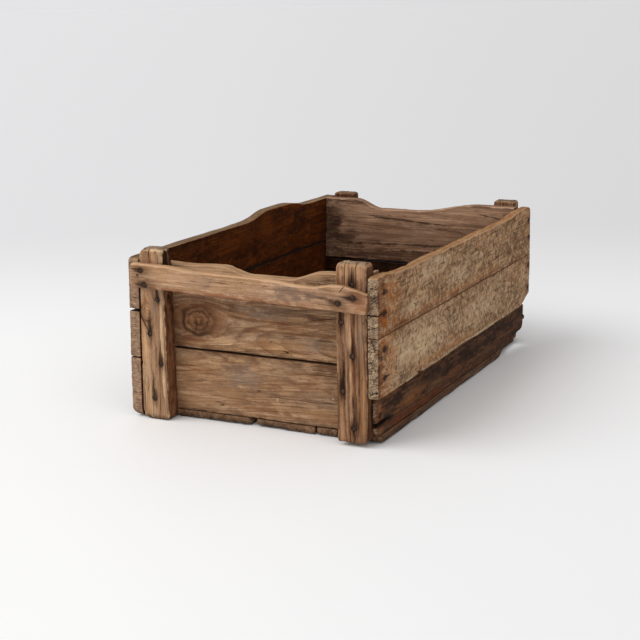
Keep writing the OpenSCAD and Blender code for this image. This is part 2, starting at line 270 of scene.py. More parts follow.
class Canvas:
    """Adds nodes to one tree and links them."""

    def __init__(self, tree: bpy.types.NodeTree) -> None:
        """Starts on an empty tree."""
        self.tree = tree
        tree.nodes.clear()

    def plug(self, socket: bpy.types.NodeSocket, value: Plug) -> None:
        """Links a socket to a socket, or sets it to a constant."""
        if isinstance(value, bpy.types.NodeSocket):
            self.tree.links.new(value, socket)
        else:
            socket.default_value = value

    def node(self, kind: str, plugs: Optional[Dict] = None, **settings: object) -> bpy.types.Node:
        """Adds one node.

        Args:
            kind: Type name of the node.
            plugs: What goes into its inputs, by name or number.
            **settings: Its own properties.

        Returns:
            The node.
        """
        node = self.tree.nodes.new(kind)
        node.location = (len(self.tree.nodes) * 40.0, -(len(self.tree.nodes) % 9) * 120.0)
        for key, value in settings.items():
            setattr(node, key, value)
        for key, value in (plugs or {}).items():
            self.plug(node.inputs[key], value)
        return node

    def math(self, operation: str, a: Plug, b: Plug = 0.0, c: Plug = 0.0) -> bpy.types.NodeSocket:
        """One step of arithmetic on values."""
        return self.node("ShaderNodeMath", {0: a, 1: b, 2: c}, operation=operation).outputs[0]

    def times(self, a: Plug, b: Plug) -> bpy.types.NodeSocket:
        """The product of two values."""
        return self.math("MULTIPLY", a, b)

    def flip(self, a: Plug) -> bpy.types.NodeSocket:
        """One minus a value."""
        return self.math("SUBTRACT", 1.0, a)

    def lift(self, a: Plug, slope: Plug, base: Plug) -> bpy.types.NodeSocket:
        """A value times a slope, plus a base."""
        return self.math("MULTIPLY_ADD", a, slope, base)

    def vector(self, operation: str, a: Plug, b: Plug = (0, 0, 0)) -> bpy.types.NodeSocket:
        """One step of arithmetic on vectors."""
        node = self.node("ShaderNodeVectorMath", {0: a, 1: b}, operation=operation)
        return node.outputs["Value" if operation in ("DOT_PRODUCT", "LENGTH") else "Vector"]

    def step(self, value: Plug, start: float, stop: float) -> bpy.types.NodeSocket:
        """A smooth step of a value from start to stop."""
        node = self.node("ShaderNodeMapRange", {"Value": value, "From Min": start,
                                                "From Max": stop},
                         interpolation_type="SMOOTHSTEP")
        return node.outputs["Result"]

    def mix(self, factor: Plug, a: Plug, b: Plug, blend: str = "MIX") -> bpy.types.NodeSocket:
        """Mixes two colours."""
        node = self.node("ShaderNodeMix", {0: factor, 6: a, 7: b}, data_type="RGBA",
                         blend_type=blend)
        return node.outputs[2]

    def noise(self, vector: Plug, size: Sequence[float], detail: float = 2.0,
              roughness: float = 0.5) -> bpy.types.NodeSocket:
        """Noise whose lumps have a given size in millimetres along each axis."""
        scaled = self.vector("MULTIPLY", vector, tuple(1 / s for s in size))
        node = self.node("ShaderNodeTexNoise", {
            "Vector": scaled, "Scale": 1.0, "Detail": detail, "Roughness": roughness,
        }, noise_dimensions="3D")
        return node.outputs["Fac"]

    def apart(self, vector: Plug) -> List[bpy.types.NodeSocket]:
        """The three parts of a vector."""
        return list(self.node("ShaderNodeSeparateXYZ", {0: vector}).outputs)

    def length(self, x: Plug, y: Plug, z: Plug = 0.0) -> bpy.types.NodeSocket:
        """The length of a vector of three values."""
        return self.vector("LENGTH", self.together(x, y, z))

    def together(self, x: Plug, y: Plug, z: Plug) -> bpy.types.NodeSocket:
        """A vector of three values."""
        return self.node("ShaderNodeCombineXYZ", {0: x, 1: y, 2: z}).outputs[0]

    def attribute(self, name: str) -> bpy.types.NodeSocket:
        """A value stored on the piece's vertices."""
        return self.node("ShaderNodeAttribute", attribute_name=name).outputs["Fac"]


def new_material(name: str) -> Tuple[bpy.types.Material, Canvas]:
    """Makes an empty material and the canvas of its nodes."""
    material = bpy.data.materials.new(name)
    material.use_nodes = True
    return material, Canvas(material.node_tree)


class Paint:
    """A colour that is laid on in coats."""

    def __init__(self, canvas: Canvas, first: Plug) -> None:
        """Starts with the first colour."""
        self.canvas = canvas
        self.colour = first

    def coat(self, mask: Plug, strength: float, code: Union[str, Plug], blend: str = "MIX") -> None:
        """Lays a written colour, or a socket's, over the last one where the mask is."""
        colour = tone(code) if isinstance(code, str) else code
        self.colour = self.canvas.mix(self.canvas.times(mask, strength), self.colour, colour, blend)


VECTOR, VALUE = "NodeSocketVector", "NodeSocketFloat"
ZERO = (0.0, 0.0, 0.0)


class Effects:
    """Node groups that the wood finishes share. Lengths in them are millimetres."""

    def __init__(self) -> None:
        """Builds every group once."""
        self.groups: Dict[str, bpy.types.NodeTree] = {}
        self.knot()
        self.rings()
        self.fibres()
        self.weather()
        self.checks()
        self.pits()
        self.sawn()
        self.stain()
        self.patch()

    def start(self, name: str, inputs: Dict[str, Tuple[str, Plug]],
              outputs: Dict[str, str]) -> Tuple[Canvas, bpy.types.Node, bpy.types.Node]:
        """Opens a new group.

        Args:
            name: Name of the group.
            inputs: Type and default of each input.
            outputs: Type of each output.

        Returns:
            The canvas of the group, its input node and its output node.
        """
        tree = bpy.data.node_groups.new(name, "ShaderNodeTree")
        for key, (kind, default) in inputs.items():
            socket = tree.interface.new_socket(name=key, in_out="INPUT", socket_type=kind)
            socket.default_value = default
        for key, kind in outputs.items():
            tree.interface.new_socket(name=key, in_out="OUTPUT", socket_type=kind)
        canvas = Canvas(tree)
        self.groups[name] = tree
        return canvas, canvas.node("NodeGroupInput"), canvas.node("NodeGroupOutput")

    def place(self, canvas: Canvas, name: str, **plugs: Plug) -> bpy.types.bpy_prop_collection:
        """Puts a group into a material, with its inputs plugged by name, and gives its outputs."""
        node = canvas.node("ShaderNodeGroup", node_tree=self.groups[name])
        for key, value in plugs.items():
            canvas.plug(node.inputs[key], value)
        return node.outputs

    def knot(self) -> None:
        """Grain that flows around a knot, with the knot's core, rim, rings and halo."""
        c, given, out = self.start("knot", {
            "Vector": (VECTOR, ZERO), "Flow": (VECTOR, ZERO), "Place": (VECTOR, ZERO),
            "Radius": (VALUE, 12.0),
        }, {"Flow": VECTOR, "Core": VALUE, "Rim": VALUE, "Rings": VALUE, "Halo": VALUE})
        du, dv, _ = c.apart(c.vector("SUBTRACT", given.outputs["Vector"], given.outputs["Place"]))
        radius = given.outputs["Radius"]
        wobble = c.lift(c.noise(given.outputs["Vector"], (14, 12, 30), 2.0), 0.5, 0.75)
        lens = c.length(c.times(du, 0.5), dv)
        ratio = c.math("DIVIDE", radius, c.math("MAXIMUM", lens, radius))
        push = c.times(c.math("POWER", ratio, 2.0), dv)
        c.plug(out.inputs["Flow"], c.vector("SUBTRACT", given.outputs["Flow"],
                                            c.together(0.0, push, 0.0)))
        away = c.math("DIVIDE", c.times(c.length(c.times(du, 0.82), dv), wobble), radius)
        c.plug(out.inputs["Core"], c.step(away, 1.05, 0.85))
        rim = c.times(c.step(away, 0.7, 0.98), c.step(away, 1.24, 1.0))
        below = c.math("DIVIDE", c.math("ADD", du, dv), radius)
        c.plug(out.inputs["Rim"], c.times(rim, c.lift(c.step(below, 0.9, -0.7), 0.6, 0.4)))
        frayed = c.lift(c.noise(given.outputs["Vector"], (7, 5, 5), 3.0), 7.0, c.times(away, 17.0))
        c.plug(out.inputs["Rings"], c.step(c.math("SINE", frayed), -0.6, 1.0))
        c.plug(out.inputs["Halo"], c.step(away, 2.3, 1.0))

    def rings(self) -> None:
        """Growth rings around a pith that runs along the board."""
        c, given, out = self.start("growth_rings", {
            "Vector": (VECTOR, ZERO), "Pith": (VECTOR, ZERO), "Gap": (VALUE, 4.0),
            "Taper": (VALUE, 0.0), "Wander": (VALUE, 2.0),
        }, {"Late": VALUE, "Line": VALUE})
        vector = given.outputs["Vector"]
        u, v, w = c.apart(c.vector("SUBTRACT", vector, given.outputs["Pith"]))
        sway = c.math("SUBTRACT", c.noise(vector, (120, 30, 30), 3.0, 0.5), 0.5)
        reach = c.math("ADD", c.length(0.0, v, w), c.times(u, given.outputs["Taper"]))
        reach = c.lift(sway, given.outputs["Wander"], reach)
        crowd = c.noise(c.together(0.0, reach, 0.0), (9, 9, 9), 1.0)
        part = c.math("FRACT", c.lift(crowd, 1.6, c.math("DIVIDE", reach, given.outputs["Gap"])))
        fade = c.step(c.noise(vector, (80, 14, 14), 2.0), 0.3, 0.62)
        late = c.times(c.step(part, 0.25, 0.85), c.step(part, 1.0, 0.9))
        c.plug(out.inputs["Late"], late)
        line = c.times(c.step(part, 0.66, 0.86), c.step(part, 1.0, 0.93))
        c.plug(out.inputs["Line"], c.times(line, fade))

    def fibres(self) -> None:
        """Streaks along the grain: fine, broad and hair-thin."""
        c, given, out = self.start("fibres", {"Vector": (VECTOR, ZERO)},
                                   {"Fine": VALUE, "Broad": VALUE, "Hair": VALUE})
        vector = given.outputs["Vector"]
        c.plug(out.inputs["Fine"], c.step(c.noise(vector, (90, 2.2, 2.2), 4.0, 0.6), 0.36, 0.64))
        c.plug(out.inputs["Broad"], c.step(c.noise(vector, (100, 4.6, 4.6), 3.0, 0.6), 0.36, 0.64))
        away = c.math("ABSOLUTE", c.math("SUBTRACT", c.noise(vector, (150, 3.4, 3.4), 2.0), 0.5))
        gate = c.step(c.noise(vector, (60, 9, 9), 1.0), 0.5, 0.66)
        c.plug(out.inputs["Hair"], c.times(c.step(away, 0.03, 0.008), gate))

    def weather(self) -> None:
        """Large patches of weathering, drawn out along the grain."""
        c, given, out = self.start("weather", {"Vector": (VECTOR, ZERO)},
                                   {"Patch": VALUE, "Blotch": VALUE, "Drift": VALUE, "Glow": VALUE})
        vector = given.outputs["Vector"]
        c.plug(out.inputs["Patch"], c.step(c.noise(vector, (95, 22, 22), 4.0, 0.62), 0.4, 0.64))
        c.plug(out.inputs["Blotch"], c.step(c.noise(vector, (20, 9, 9), 4.0, 0.65), 0.34, 0.66))
        c.plug(out.inputs["Drift"], c.step(c.noise(vector, (170, 50, 50), 2.0), 0.35, 0.65))
        other = c.vector("ADD", vector, (411.0, 83.0, 29.0))
        c.plug(out.inputs["Glow"], c.step(c.noise(other, (70, 16, 16), 3.0, 0.55), 0.45, 0.68))

    def checks(self) -> None:
        """Thin drying cracks along the grain."""
        c, given, out = self.start("checks", {
            "Vector": (VECTOR, ZERO), "Amount": (VALUE, 0.5),
        }, {"Mask": VALUE})
        vector = given.outputs["Vector"]
        away = c.math("ABSOLUTE", c.math("SUBTRACT", c.noise(vector, (120, 7, 7), 2.0, 0.55), 0.5))
        limit = c.lift(given.outputs["Amount"], -0.24, 0.68)
        gate = c.math("SUBTRACT", c.noise(vector, (45, 13, 13), 2.0), limit)
        c.plug(out.inputs["Mask"], c.times(c.step(away, 0.014, 0.004), c.step(gate, 0.0, 0.07)))

    def pits(self) -> None:
        """Small dark specks and pits."""
        c, given, out = self.start("pits", {"Vector": (VECTOR, ZERO)},
                                   {"Mask": VALUE, "Dust": VALUE, "Scar": VALUE})
        vector = given.outputs["Vector"]
        specks = c.noise(vector, (3.2, 1.6, 1.6), 2.0, 0.5)
        c.plug(out.inputs["Mask"], c.step(specks, 0.63, 0.73))
        c.plug(out.inputs["Dust"], c.step(specks, 0.3, 0.7))
        scars = c.noise(vector, (11, 3.2, 3.2), 1.0, 0.4)
        c.plug(out.inputs["Scar"], c.step(scars, 0.7, 0.76))

    def sawn(self) -> None:
        """Short torn strokes that a coarse saw left across the grain."""
        c, given, out = self.start("saw_strokes", {"Vector": (VECTOR, ZERO)},
                                   {"Dark": VALUE, "Pale": VALUE, "Fleck": VALUE})
        vector = given.outputs["Vector"]
        sway = c.times(c.math("SUBTRACT", c.noise(vector, (34, 26, 26), 2.0), 0.5), 44.0)
        vector = c.vector("ADD", vector, c.together(sway, 0.0, 0.0))
        strokes = c.noise(vector, (5.4, 8.0, 8.0), 4.0, 0.68)
        c.plug(out.inputs["Dark"], c.step(strokes, 0.49, 0.37))
        c.plug(out.inputs["Pale"], c.step(strokes, 0.49, 0.62))
        flecks = c.noise(c.vector("ADD", vector, (77.0, 31.0, 5.0)), (4.4, 4.8, 4.8), 2.0, 0.5)
        c.plug(out.inputs["Fleck"], c.step(flecks, 0.62, 0.69))

    def stain(self) -> None:
        """The rust around one nail, drawn out along the grain to both sides by given lengths."""
        c, given, out = self.start("nail_stain", {
            "Vector": (VECTOR, ZERO), "Place": (VECTOR, ZERO), "Rough": (VALUE, 0.5),
            "Ahead": (VALUE, 16.0), "Behind": (VALUE, 6.0),
        }, {"Halo": VALUE, "Streak": VALUE})
        du, dv, dw = c.apart(c.vector("SUBTRACT", given.outputs["Vector"], given.outputs["Place"]))
        rough = c.lift(given.outputs["Rough"], 0.5, 0.75)
        halo = c.times(c.length(c.times(du, 0.5), dv, dw), rough)
        c.plug(out.inputs["Halo"], c.step(halo, 10.0, 3.5))
        run = c.math("MAXIMUM", c.math("DIVIDE", du, given.outputs["Ahead"]),
                     c.math("DIVIDE", c.times(du, -1.0), given.outputs["Behind"]))
        narrow = c.lift(run, 0.16, 0.2)
        tear = c.times(c.length(run, c.times(dv, narrow), c.times(dw, narrow)), rough)
        c.plug(out.inputs["Streak"], c.step(tear, 1.25, 0.3))

    def patch(self) -> None:
        """One patch at a given place, with a ragged rim, leaning across the grain if asked."""
        c, given, out = self.start("patch", {
            "Vector": (VECTOR, ZERO), "Place": (VECTOR, ZERO), "Size": (VECTOR, (20, 10, 0)),
            "Lean": (VALUE, 0.0), "Rough": (VALUE, 0.5),
        }, {"Mask": VALUE})
        away = c.vector("SUBTRACT", given.outputs["Vector"], given.outputs["Place"])
        du, dv, _ = c.apart(away)
        across = c.math("SUBTRACT", dv, c.times(du, given.outputs["Lean"]))
        away = c.vector("DIVIDE", c.together(du, across, 0.0), given.outputs["Size"])
        away = c.lift(given.outputs["Rough"], 0.9, c.vector("LENGTH", away))
        c.plug(out.inputs["Mask"], c.step(away, 1.6, 0.7))


# Finishes


@dataclass(frozen=True)
class WoodTone:
    """Colours of one kind of old wood, as written colours."""

    pale: str
    mid: str
    deep: str
    late: str
    grey: str
    warm: str
    top: str
    end_pale: str
    end_deep: str
    # Inner multiplies the faces inside the crate and the side faces of posts: painted shade, partly the
    # wood's darker tone.
    inner: str = "#b48c6c"
    # The darkest tone, for dirt, holes and hairs, and also for painted shade where black patches and the
    # low band lay it.
    dirt: str = "#38261b"


class Mark(Enum):
    """Kinds of local patches on a board, by the colour that they take."""

    GREY = "grey"
    DARK = "deep"
    PALE = "pale"
    WARM = "warm"
    RED = "late"
    BLACK = "dirt"


@dataclass(frozen=True)
class Spot:
    """One local patch: its kind, place, half sizes, strength and lean across the grain."""

    mark: Mark
    u: float
    v: float
    long: float
    wide: float
    strength: float = 1.0
    lean: float = 0.0


@dataclass(frozen=True)
class Knot:
    """One knot: its place on the board, its radius and how clear its heart is."""

    u: float
    v: float
    radius: float
    heart: float = 0.7


@dataclass(frozen=True)
class WoodLook:
    """How the wood of one board looks.

    The pith, the knots and the spots are in the board's own millimetres: u along the grain,
    v across the face and w through the thickness. The rest are strengths from 0 to 1, apart
    from the gap between rings, in millimetres, their taper and wander, and how far the rust of
    a nail runs ahead and behind along the grain. The crown is a face that looks up, and the
    flank shade is painted shade on the faces of the low and the high long edge. Inner is painted
    shade on the face that looks into the crate, partly the wood's darker tone, and worn is the
    pale coat on upward edges, which is wear and painted highlight.
    """

    colours: WoodTone
    pith: Tuple[float, float] = (40.0, -60.0)
    gap: float = 4.5
    taper: float = 0.03
    wander: float = 9.0
    late: float = 0.6
    fibre: float = 0.6
    weather: float = 0.5
    glow: float = 0.4
    checks: float = 0.5
    sawn: float = 0.0
    inner: float = 0.6
    worn: float = 0.6
    grime: float = 0.6
    crown: float = 0.5
    marked: float = 0.5
    pitted: float = 0.35
    mottle: float = 0.28
    seam: Mark = Mark.BLACK
    flank_shade: Tuple[float, float] = (0.0, 0.0)
    relief: float = 1.0
    rust: Tuple[float, float] = (11.0, 11.0)
    knots: Tuple[Knot, ...] = ()
    spots: Tuple[Spot, ...] = ()


@dataclass(frozen=True)
class WoodFinish:
    """Builds the material of one board."""

    look: WoodLook
    effects: Effects

    def build(self, board: "Board", nails: Sequence[Place]) -> bpy.types.Material:
        """Makes the material.

        Args:
            board: The board that wears it.
            nails: Places of the nail heads on the board, in its own millimetres.

        Returns:
            The material.
        """
        look, tones = self.look, self.look.colours
        material, c = new_material(board.node + "_wood")
        ground = self.ground(c, board)
        paint = Paint(c, c.mix(ground["Broad"], tone(tones.mid), tone(tones.pale)))
        self.grain(c, ground, paint)
        self.knots(c, ground, paint)
        self.spots(c, ground, paint)
        worn_and_highlit = self.edges(c, ground, paint)
        self.ends(c, ground, paint, board)
        self.cracks(c, ground, paint, nails)
        rough = c.lift(ground["Fine"], 0.1, 0.78)
        rough = c.lift(worn_and_highlit, -0.2, rough)
        bump = c.node("ShaderNodeBump", {"Height": self.height(c, ground),
                                         "Distance": 0.0008 * look.relief, "Strength": 1.0})
        shader = c.node("ShaderNodeBsdfPrincipled", {
            "Base Color": paint.colour, "Roughness": rough, "Normal": bump.outputs[0],
        })
        shader.inputs["Specular IOR Level"].default_value = 0.1
        c.node("ShaderNodeOutputMaterial", {"Surface": shader.outputs[0]})
        return material

    def ground(self, c: Canvas, board: "Board") -> Dict[str, Plug]:
        """Lays out the board's own coordinates and the patterns that the coats share.

        Args:
            c: Canvas of the material.
            board: The board that wears it.

        Returns:
            The shared sockets by name.
        """
        look = self.look
        coords = c.node("ShaderNodeTexCoord").outputs
        turn = board.place.to_3x3().normalized()
        local = c.node("ShaderNodeMapping", {
            "Vector": coords["Object"], "Location": board.place.to_translation(),
            "Rotation": turn.to_euler(), "Scale": (MM, MM, MM),
        }, vector_type="TEXTURE").outputs[0]
        along = c.vector("DOT_PRODUCT", coords["Normal"], tuple(turn.col[0]))
        ground: Dict[str, Plug] = {"Local": local}
        ground["End"] = c.step(c.math("ABSOLUTE", along), 0.6, 0.85)
        ground["Side"] = c.vector("DOT_PRODUCT", coords["Normal"], tuple(turn.col[1]))
        ground["Up"] = c.apart(coords["Normal"])[2]
        ground["Height"] = c.apart(coords["Object"])[2]
        ground["Crown"] = c.step(ground["Up"], 0.45, 0.85)
        flow: Plug = local
        for number, knot in enumerate(look.knots):
            knots = self.effects.place(c, "knot", Vector=local, Flow=flow,
                                       Place=(knot.u, knot.v, 0.0), Radius=knot.radius)
            flow = knots["Flow"]
            for key in ("Core", "Rim", "Rings", "Halo"):
                ground[f"{key} {number}"] = knots[key]
        shift = (board.seed * 371.0, board.seed * 57.0, board.seed * 91.0)
        pith = (board.seed * 40.0 % 90 - 45, *look.pith)
        still = c.vector("ADD", local, shift)
        seeded = c.vector("ADD", flow, shift)
        for outputs in (
                self.effects.place(c, "growth_rings", Vector=flow, Pith=pith, Gap=look.gap,
                                   Taper=look.taper, Wander=look.wander),
                self.effects.place(c, "fibres", Vector=seeded),
                self.effects.place(c, "weather", Vector=still),
                self.effects.place(c, "pits", Vector=still)):
            for output in outputs:
                ground[output.name] = output
        ground["Checks"] = self.effects.place(c, "checks", Vector=seeded, Amount=look.checks)[0]
        if look.sawn:
            strokes = self.effects.place(c, "saw_strokes", Vector=still)
            ground.update({output.name: output for output in strokes})
        return ground

    def grain(self, c: Canvas, ground: Dict[str, Plug], paint: Paint) -> None:
        """Coats of the wood itself: rings, fibres and weathering."""
        look, tones = self.look, self.look.colours
        paint.coat(ground["Glow"], look.glow, tones.warm)
        paint.coat(ground["Late"], look.late * 0.5, tones.late)
        paint.coat(ground["Line"], look.late, tones.late)
        paint.coat(c.flip(ground["Fine"]), look.fibre, tones.deep)
        paint.coat(c.times(ground["Patch"], c.lift(ground["Fine"], 0.5, 0.5)), look.weather,
                   tones.grey)
        paint.coat(c.flip(ground["Blotch"]), look.mottle, tones.deep)
        paint.coat(c.flip(ground["Dust"]), 0.3, tones.deep)
        paint.coat(ground["Drift"], 0.2, tones.deep)
        paint.coat(ground["Hair"], 0.75, tones.dirt)
        paint.coat(ground["Mask"], look.marked, tones.deep)
        paint.coat(ground["Scar"], look.marked, tones.dirt)

    def spots(self, c: Canvas, ground: Dict[str, Plug], paint: Paint) -> None:
        """Coats of the look's own patches, with the saw's strokes over the dull ones."""
        for mark in Mark:
            if mark is Mark.WARM and self.look.sawn:
                self.strokes(ground, paint)
            total: Optional[Plug] = None
            for spot in (s for s in self.look.spots if s.mark is mark):
                mask = self.effects.place(
                    c, "patch", Vector=ground["Local"], Place=(spot.u, spot.v, 0.0),
                    Size=(spot.long, spot.wide, 1.0), Lean=spot.lean, Rough=ground["Blotch"])[0]
                mask = c.times(mask, spot.strength)
                total = mask if total is None else c.math("MAXIMUM", total, mask)
            if total is not None:
                total = c.times(total, c.lift(ground["Fine"], 0.35, 0.65))
                paint.coat(total, 1.0, getattr(self.look.colours, mark.value))

    def strokes(self, ground: Dict[str, Plug], paint: Paint) -> None:
        """Coats of the strokes that a coarse saw left."""
        for key, share, mark in (("Pale", 0.6, Mark.GREY), ("Dark", 0.8, Mark.DARK),
                                 ("Fleck", 0.9, Mark.BLACK)):
            paint.coat(ground[key], self.look.sawn * share,
                       getattr(self.look.colours, mark.value))

    def knots(self, c: Canvas, ground: Dict[str, Plug], paint: Paint) -> None:
        """Coats of the knots: a red halo, a ringed heart and a dark rim."""
        tones = self.look.colours
        for number, knot in enumerate(self.look.knots):
            paint.coat(ground[f"Halo {number}"], 0.45, tones.late)
            worn = c.lift(c.flip(ground["Blotch"]), 0.5, c.times(ground[f"Rings {number}"], 0.5))
            worn = c.lift(c.flip(ground["Fine"]), 0.3, worn)
            heart = c.mix(worn, c.mix(0.15, tone(tones.mid), tone(tones.late)), tone(tones.deep))
            paint.coat(ground[f"Core {number}"], knot.heart, heart)
            rim = c.times(ground[f"Rim {number}"], c.lift(ground["Blotch"], -0.15, 1.0))
            paint.coat(rim, knot.heart + 0.2, tones.dirt)

    def edges(self, c: Canvas, ground: Dict[str, Plug], paint: Paint) -> Plug:
        """Coats of grime along the rims of a face, of painted shade on its side faces, and of pale wood on
        its upward edges, which is both wear and painted highlight.

        Args:
            c: Canvas of the material.
            ground: The shared sockets.
            paint: The colour to coat.

        Returns:
            How much the wood is worn pale and painted highlit.
        """
        look, tones = self.look, self.look.colours
        rim = c.times(c.attribute("rim"), c.lift(ground["Blotch"], -0.7, 1.0))
        paint.coat(rim, look.grime, tones.dirt)
        crown = c.times(ground["Crown"], c.lift(ground["Fine"], 0.6, 0.4))
        paint.coat(crown, look.crown, tones.top)
        paint.coat(c.times(ground["Crown"], c.flip(ground["Broad"])), 0.4, tones.late)
        paint.coat(c.attribute("seam"), 0.95, getattr(tones, look.seam.value))
        # Painted shade: the side faces of the low and the high long edge are multiplied darker with the
        # inner tone.
        for strength, sign in zip(look.flank_shade, (-1.0, 1.0)):
            if strength:
                shaded_flank = c.step(c.times(ground["Side"], sign), 0.45, 0.8)
                shaded_flank = c.times(shaded_flank, c.lift(ground["Blotch"], -0.2, 1.0))
                paint.coat(shaded_flank, strength, tones.inner, "MULTIPLY")
        # Wear and painted highlight: the pale coat on worn edges is laid only on edges that face up, where
        # light falls.
        high = c.step(c.lift(ground["Up"], 0.9, ground["Blotch"]), 0.25, 1.0)
        worn_and_highlit = c.times(c.times(c.attribute("edge"), high), look.worn)
        worn_and_highlit = c.times(worn_and_highlit, c.flip(c.attribute("seam")))
        paint.coat(worn_and_highlit, 1.0, tones.pale)
        return worn_and_highlit

    def ends(self, c: Canvas, ground: Dict[str, Plug], paint: Paint, board: "Board") -> None:
        """Coats of the end grain, of painted shade on the face that looks inwards, partly the wood's darker
        tone, and of painted contact shade low down.
        """
        look, tones = self.look, self.look.colours
        speck = c.lift(ground["Line"], 0.45, c.times(ground["Dust"], look.pitted))
        speck = c.lift(ground["Mask"], look.pitted, c.lift(c.flip(ground["Blotch"]), 0.35, speck))
        speck = c.lift(c.flip(ground["Broad"]), 0.3, speck)
        paint.coat(ground["End"], 1.0, c.mix(speck, tone(tones.end_pale), tone(tones.end_deep)))
        outer = board.high[2] if board.outward > 0 else board.low[2]
        inner = board.low[2] if board.outward > 0 else board.high[2]
        # Painted shade inside the crate: the face that looks inwards is multiplied darker, partly for the
        # wood's darker tone.
        inward_shade = c.step(c.apart(ground["Local"])[2], outer + (inner - outer) * 0.55,
                        outer + (inner - outer) * 0.9)
        inward_shade = c.times(inward_shade, c.flip(c.math("MAXIMUM", ground["End"], ground["Crown"])))
        paint.coat(inward_shade, look.inner, tones.inner, "MULTIPLY")
        # Painted contact shade: darker within 9 mm of the floor.
        contact_shade = c.times(c.step(ground["Height"], 0.009, 0.001), c.lift(ground["Blotch"], -0.5, 1.0))
        paint.coat(contact_shade, 0.9, tones.dirt)

    def cracks(self, c: Canvas, ground: Dict[str, Plug], paint: Paint,
               nails: Sequence[Place]) -> None:
        """Coats of rust around the nails and of the dark in cracks; in a post's grooves and in the walls of
        cut cracks and nail seats the dark is painted shade.
        """
        ahead, behind = self.look.rust
        halos: Plug = 0.0
        streaks: Plug = 0.0
        for place in nails:
            stain = self.effects.place(c, "nail_stain", Vector=ground["Local"], Place=place,
                                       Rough=ground["Broad"], Ahead=ahead, Behind=behind)
            halos = c.math("MAXIMUM", halos, stain["Halo"])
            streaks = c.math("MAXIMUM", streaks, stain["Streak"])
        if nails:
            paint.coat(halos, 0.5, self.look.colours.late if self.look.sawn else "#4f2f1c")
            streaks = c.times(streaks, c.lift(ground["Fine"], -0.35, 1.0))
            paint.coat(streaks, 0.95, "#1a100c")
        paint.coat(ground["Checks"], 0.85, "#1d120c")
        # Painted shade: the weathered grooves below a post's top and the walls that the crack and seat
        # cutters leave are darkened.
        paint.coat(c.step(c.attribute("flute"), 0.1, 0.8), 0.5, "#2a1a11")
        paint.coat(c.attribute("cleft"), 1.0, "#160c07")

    def height(self, c: Canvas, ground: Dict[str, Plug]) -> Plug:
        """The fine relief that the bump follows."""
        look = self.look
        height = c.lift(ground["Late"], 0.3 * look.late, 0.5)
        height = c.lift(ground["Fine"], 0.4 if not look.sawn else 0.12, height)
        height = c.lift(ground["Blotch"], 0.2, height)
        for key, depth in (("Checks", -1.2), ("Hair", -0.5), ("Mask", -0.35), ("Scar", -0.5)):
            height = c.lift(ground[key], depth, height)
        if look.sawn:
            for key, depth in (("Dark", -0.6), ("Pale", 0.6), ("Fleck", -0.5)):
                height = c.lift(ground[key], depth * look.sawn, height)
        for number in range(len(look.knots)):
            dip = c.times(ground[f"Core {number}"], ground[f"Rings {number}"])
            height = c.lift(dip, -0.4, height)
        return height


@dataclass(frozen=True)
class IronFinish:
    """Dull iron of the nail heads, with rust in its pits."""

    name: str = "nail_iron"
    fresh: str = "#4b372c"
    rust: str = "#170c07"
    shine: float = 0.15

    def build(self) -> bpy.types.Material:
        """Makes the material."""
        material, c = new_material(self.name)
        local = c.node("ShaderNodeMapping", {
            "Vector": c.node("ShaderNodeTexCoord").outputs["Object"], "Scale": (MM, MM, MM),
        }, vector_type="TEXTURE").outputs[0]
        crust = c.step(c.noise(local, (1.6, 1.6, 1.6), 3.0, 0.6), 0.38, 0.62)
        bump = c.node("ShaderNodeBump", {"Height": crust, "Distance": 0.00015})
        shader = c.node("ShaderNodeBsdfPrincipled", {
            "Base Color": c.mix(crust, tone(self.fresh), tone(self.rust)),
            "Roughness": c.lift(crust, 0.3, 0.48),
            "Metallic": c.times(c.flip(crust), self.shine),
            "Normal": bump.outputs[0],
        })
        shader.inputs["Specular IOR Level"].default_value = 0.15
        c.node("ShaderNodeOutputMaterial", {"Surface": shader.outputs[0]})
        return material


# Boards


class Run(Enum):
    """Which way a board's grain and face lie in the crate."""

    ACROSS = ((1, 0, 0), (0, 0, 1))
    SIDE = ((0, 1, 0), (0, 0, 1))
    FLOOR = ((0, 1, 0), (1, 0, 0))
    POST = ((0, 0, 1), (1, 0, 0))

    def place(self, origin: Sequence[float] = (0, 0, 0), tilt: float = 0.0) -> Matrix:
        """The matrix from a board's own millimetres to the crate's metres.

        Args:
            origin: Where the board's own zero lies, in millimetres.
            tilt: Turn about the crate's Y axis, in radians.

        Returns:
            The matrix.
        """
        grain, face = (Vector(v) for v in self.value)
        axes = Matrix((grain, face, grain.cross(face))).transposed()
        turned = Matrix.Rotation(tilt, 3, "Y") @ axes
        return Matrix.Translation(Vector(origin) * MM) @ turned.to_4x4() @ Matrix.Scale(MM, 4)


@dataclass(frozen=True)
class Crack:
    """A crack along the grain, cut into one face.

    It runs from one place to another along the board. Where an end lies past the board's own
    end, the crack opens there. Outside is whether it is cut from the outer face.
    """

    start: float
    stop: float
    v: float
    width: float
    depth: float
    drift: float = 0.0
    outside: bool = True


@dataclass(frozen=True)
class Dent:
    """A hollow in the outer face: place, half sizes and depth."""

    u: float
    v: float
    long: float
    wide: float
    depth: float


